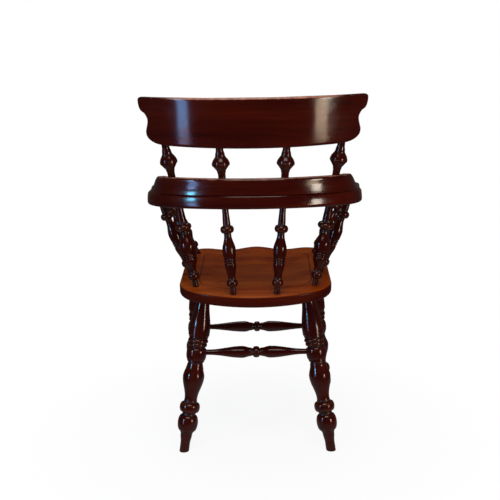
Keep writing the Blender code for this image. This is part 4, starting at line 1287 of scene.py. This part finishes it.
def make_lamps():
    stage = settings().stage
    add_lamp("overhead", (0.0, 1.5, 2.9), (0, 0, 0.5), (1.8, 1.4), stage.key_power, (1, 0.93, 0.87))
    add_lamp("front", (0.3, -1.7, 2.9), (0, 0, 0.5), (1.6, 1.2), stage.fill_power, (1, 0.98, 0.96))
    for name, x, y, z, width, height, share, colour in (
        ("cool_window_top", 1.85, 1.53, 1.02, 0.24, 0.34, 1.00, (0.18, 0.64, 1.0)),
        ("cool_window_sill", 1.82, 1.56, 0.56, 0.27, 0.24, 0.24, (0.30, 0.50, 1.0)),
        ("cool_window_middle", 1.79, 1.58, 0.32, 0.30, 0.20, 0.16, (0.22, 0.50, 1.0)),
        ("cool_window_low", 1.79, 1.58, 0.11, 0.30, 0.22, 0.06, (0.95, 0.65, 1.0)),
        ("warm_window_top", -1.80, 1.57, 0.64, 0.32, 0.46, 1.20, (1.0, 0.90, 0.74)),
        ("warm_window_low", -1.72, 1.64, 0.32, 0.34, 0.34, 0.45, (1.0, 0.74, 0.52)),
    ):
        power = stage.cool_power if x > 0 else stage.warm_power
        aim = (math.copysign(0.15, x), 0.2, 0.7)
        add_lamp(name, (x, y, z), aim, (width, height), power * share, colour)


def make_camera():
    """The photograph's own view, from behind and a little above the arms."""
    yaw, pitch, roll = CAMERA_TURN
    ahead = Vector((math.sin(yaw) * math.cos(pitch), -math.cos(yaw) * math.cos(pitch), -math.sin(pitch)))
    right = Vector((-math.cos(yaw), -math.sin(yaw), 0))
    up = right.cross(ahead)
    turned_right = right * math.cos(roll) - up * math.sin(roll)
    turned_up = right * math.sin(roll) + up * math.cos(roll)
    matrix = Matrix((turned_right, turned_up, -ahead)).transposed().to_4x4()
    matrix.translation = CAMERA_PLACE
    lens = bpy.data.cameras.new("portrait")
    lens.sensor_width = 36.0
    lens.sensor_fit = "HORIZONTAL"
    lens.lens = 56.0
    lens.shift_y = CAMERA_SHIFT
    camera = add_object("portrait", lens)
    camera.matrix_world = matrix
    bpy.context.scene.camera = camera


class ARMCHAIR_OT_stage(bpy.types.Operator):
    """Set the pale floor, the soft lamps and the camera"""
    bl_idname = "armchair.stage"
    bl_label = "Stage"

    def execute(self, context):
        context.scene.view_settings.view_transform = "Standard"
        make_world()
        make_floor()
        make_lamps()
        make_camera()
        return {"FINISHED"}


class ARMCHAIR_PT_panel(bpy.types.Panel):
    """The armchair's pieces and their settings"""
    bl_idname = "ARMCHAIR_PT_panel"
    bl_label = "Armchair"
    bl_space_type = "VIEW_3D"
    bl_region_type = "UI"
    bl_category = "Armchair"

    def draw(self, context):
        chair = context.scene.armchair
        for operator in STEPS:
            self.layout.operator(operator.bl_idname)
        for group in (chair.turning, chair.seat, chair.bow, chair.comb, chair.finish, chair.stage):
            box = self.layout.box()
            for name in type(group).__annotations__:
                box.prop(group, name)


STEPS = (
    ARMCHAIR_OT_finishes,
    ARMCHAIR_OT_seat,
    ARMCHAIR_OT_legs,
    ARMCHAIR_OT_stretchers,
    ARMCHAIR_OT_bow,
    ARMCHAIR_OT_spindles,
    ARMCHAIR_OT_comb,
    ARMCHAIR_OT_stage,
)
CLASSES = (
    TurningSettings,
    SeatSettings,
    BowSettings,
    CombSettings,
    FinishSettings,
    StageSettings,
    ArmchairSettings,
) + STEPS + (ARMCHAIR_PT_panel,)


def register():
    for cls in CLASSES:
        bpy.utils.register_class(cls)
    bpy.types.Scene.armchair = PointerProperty(type=ArmchairSettings)


def unregister():
    del bpy.types.Scene.armchair
    for cls in reversed(CLASSES):
        bpy.utils.unregister_class(cls)


def main():
    register()
    bpy.ops.armchair.finishes()
    bpy.ops.armchair.seat()
    bpy.ops.armchair.legs()
    bpy.ops.armchair.stretchers()
    bpy.ops.armchair.bow()
    bpy.ops.armchair.spindles()
    bpy.ops.armchair.comb()
    bpy.ops.armchair.stage()


if __name__ == "__main__":
    main()
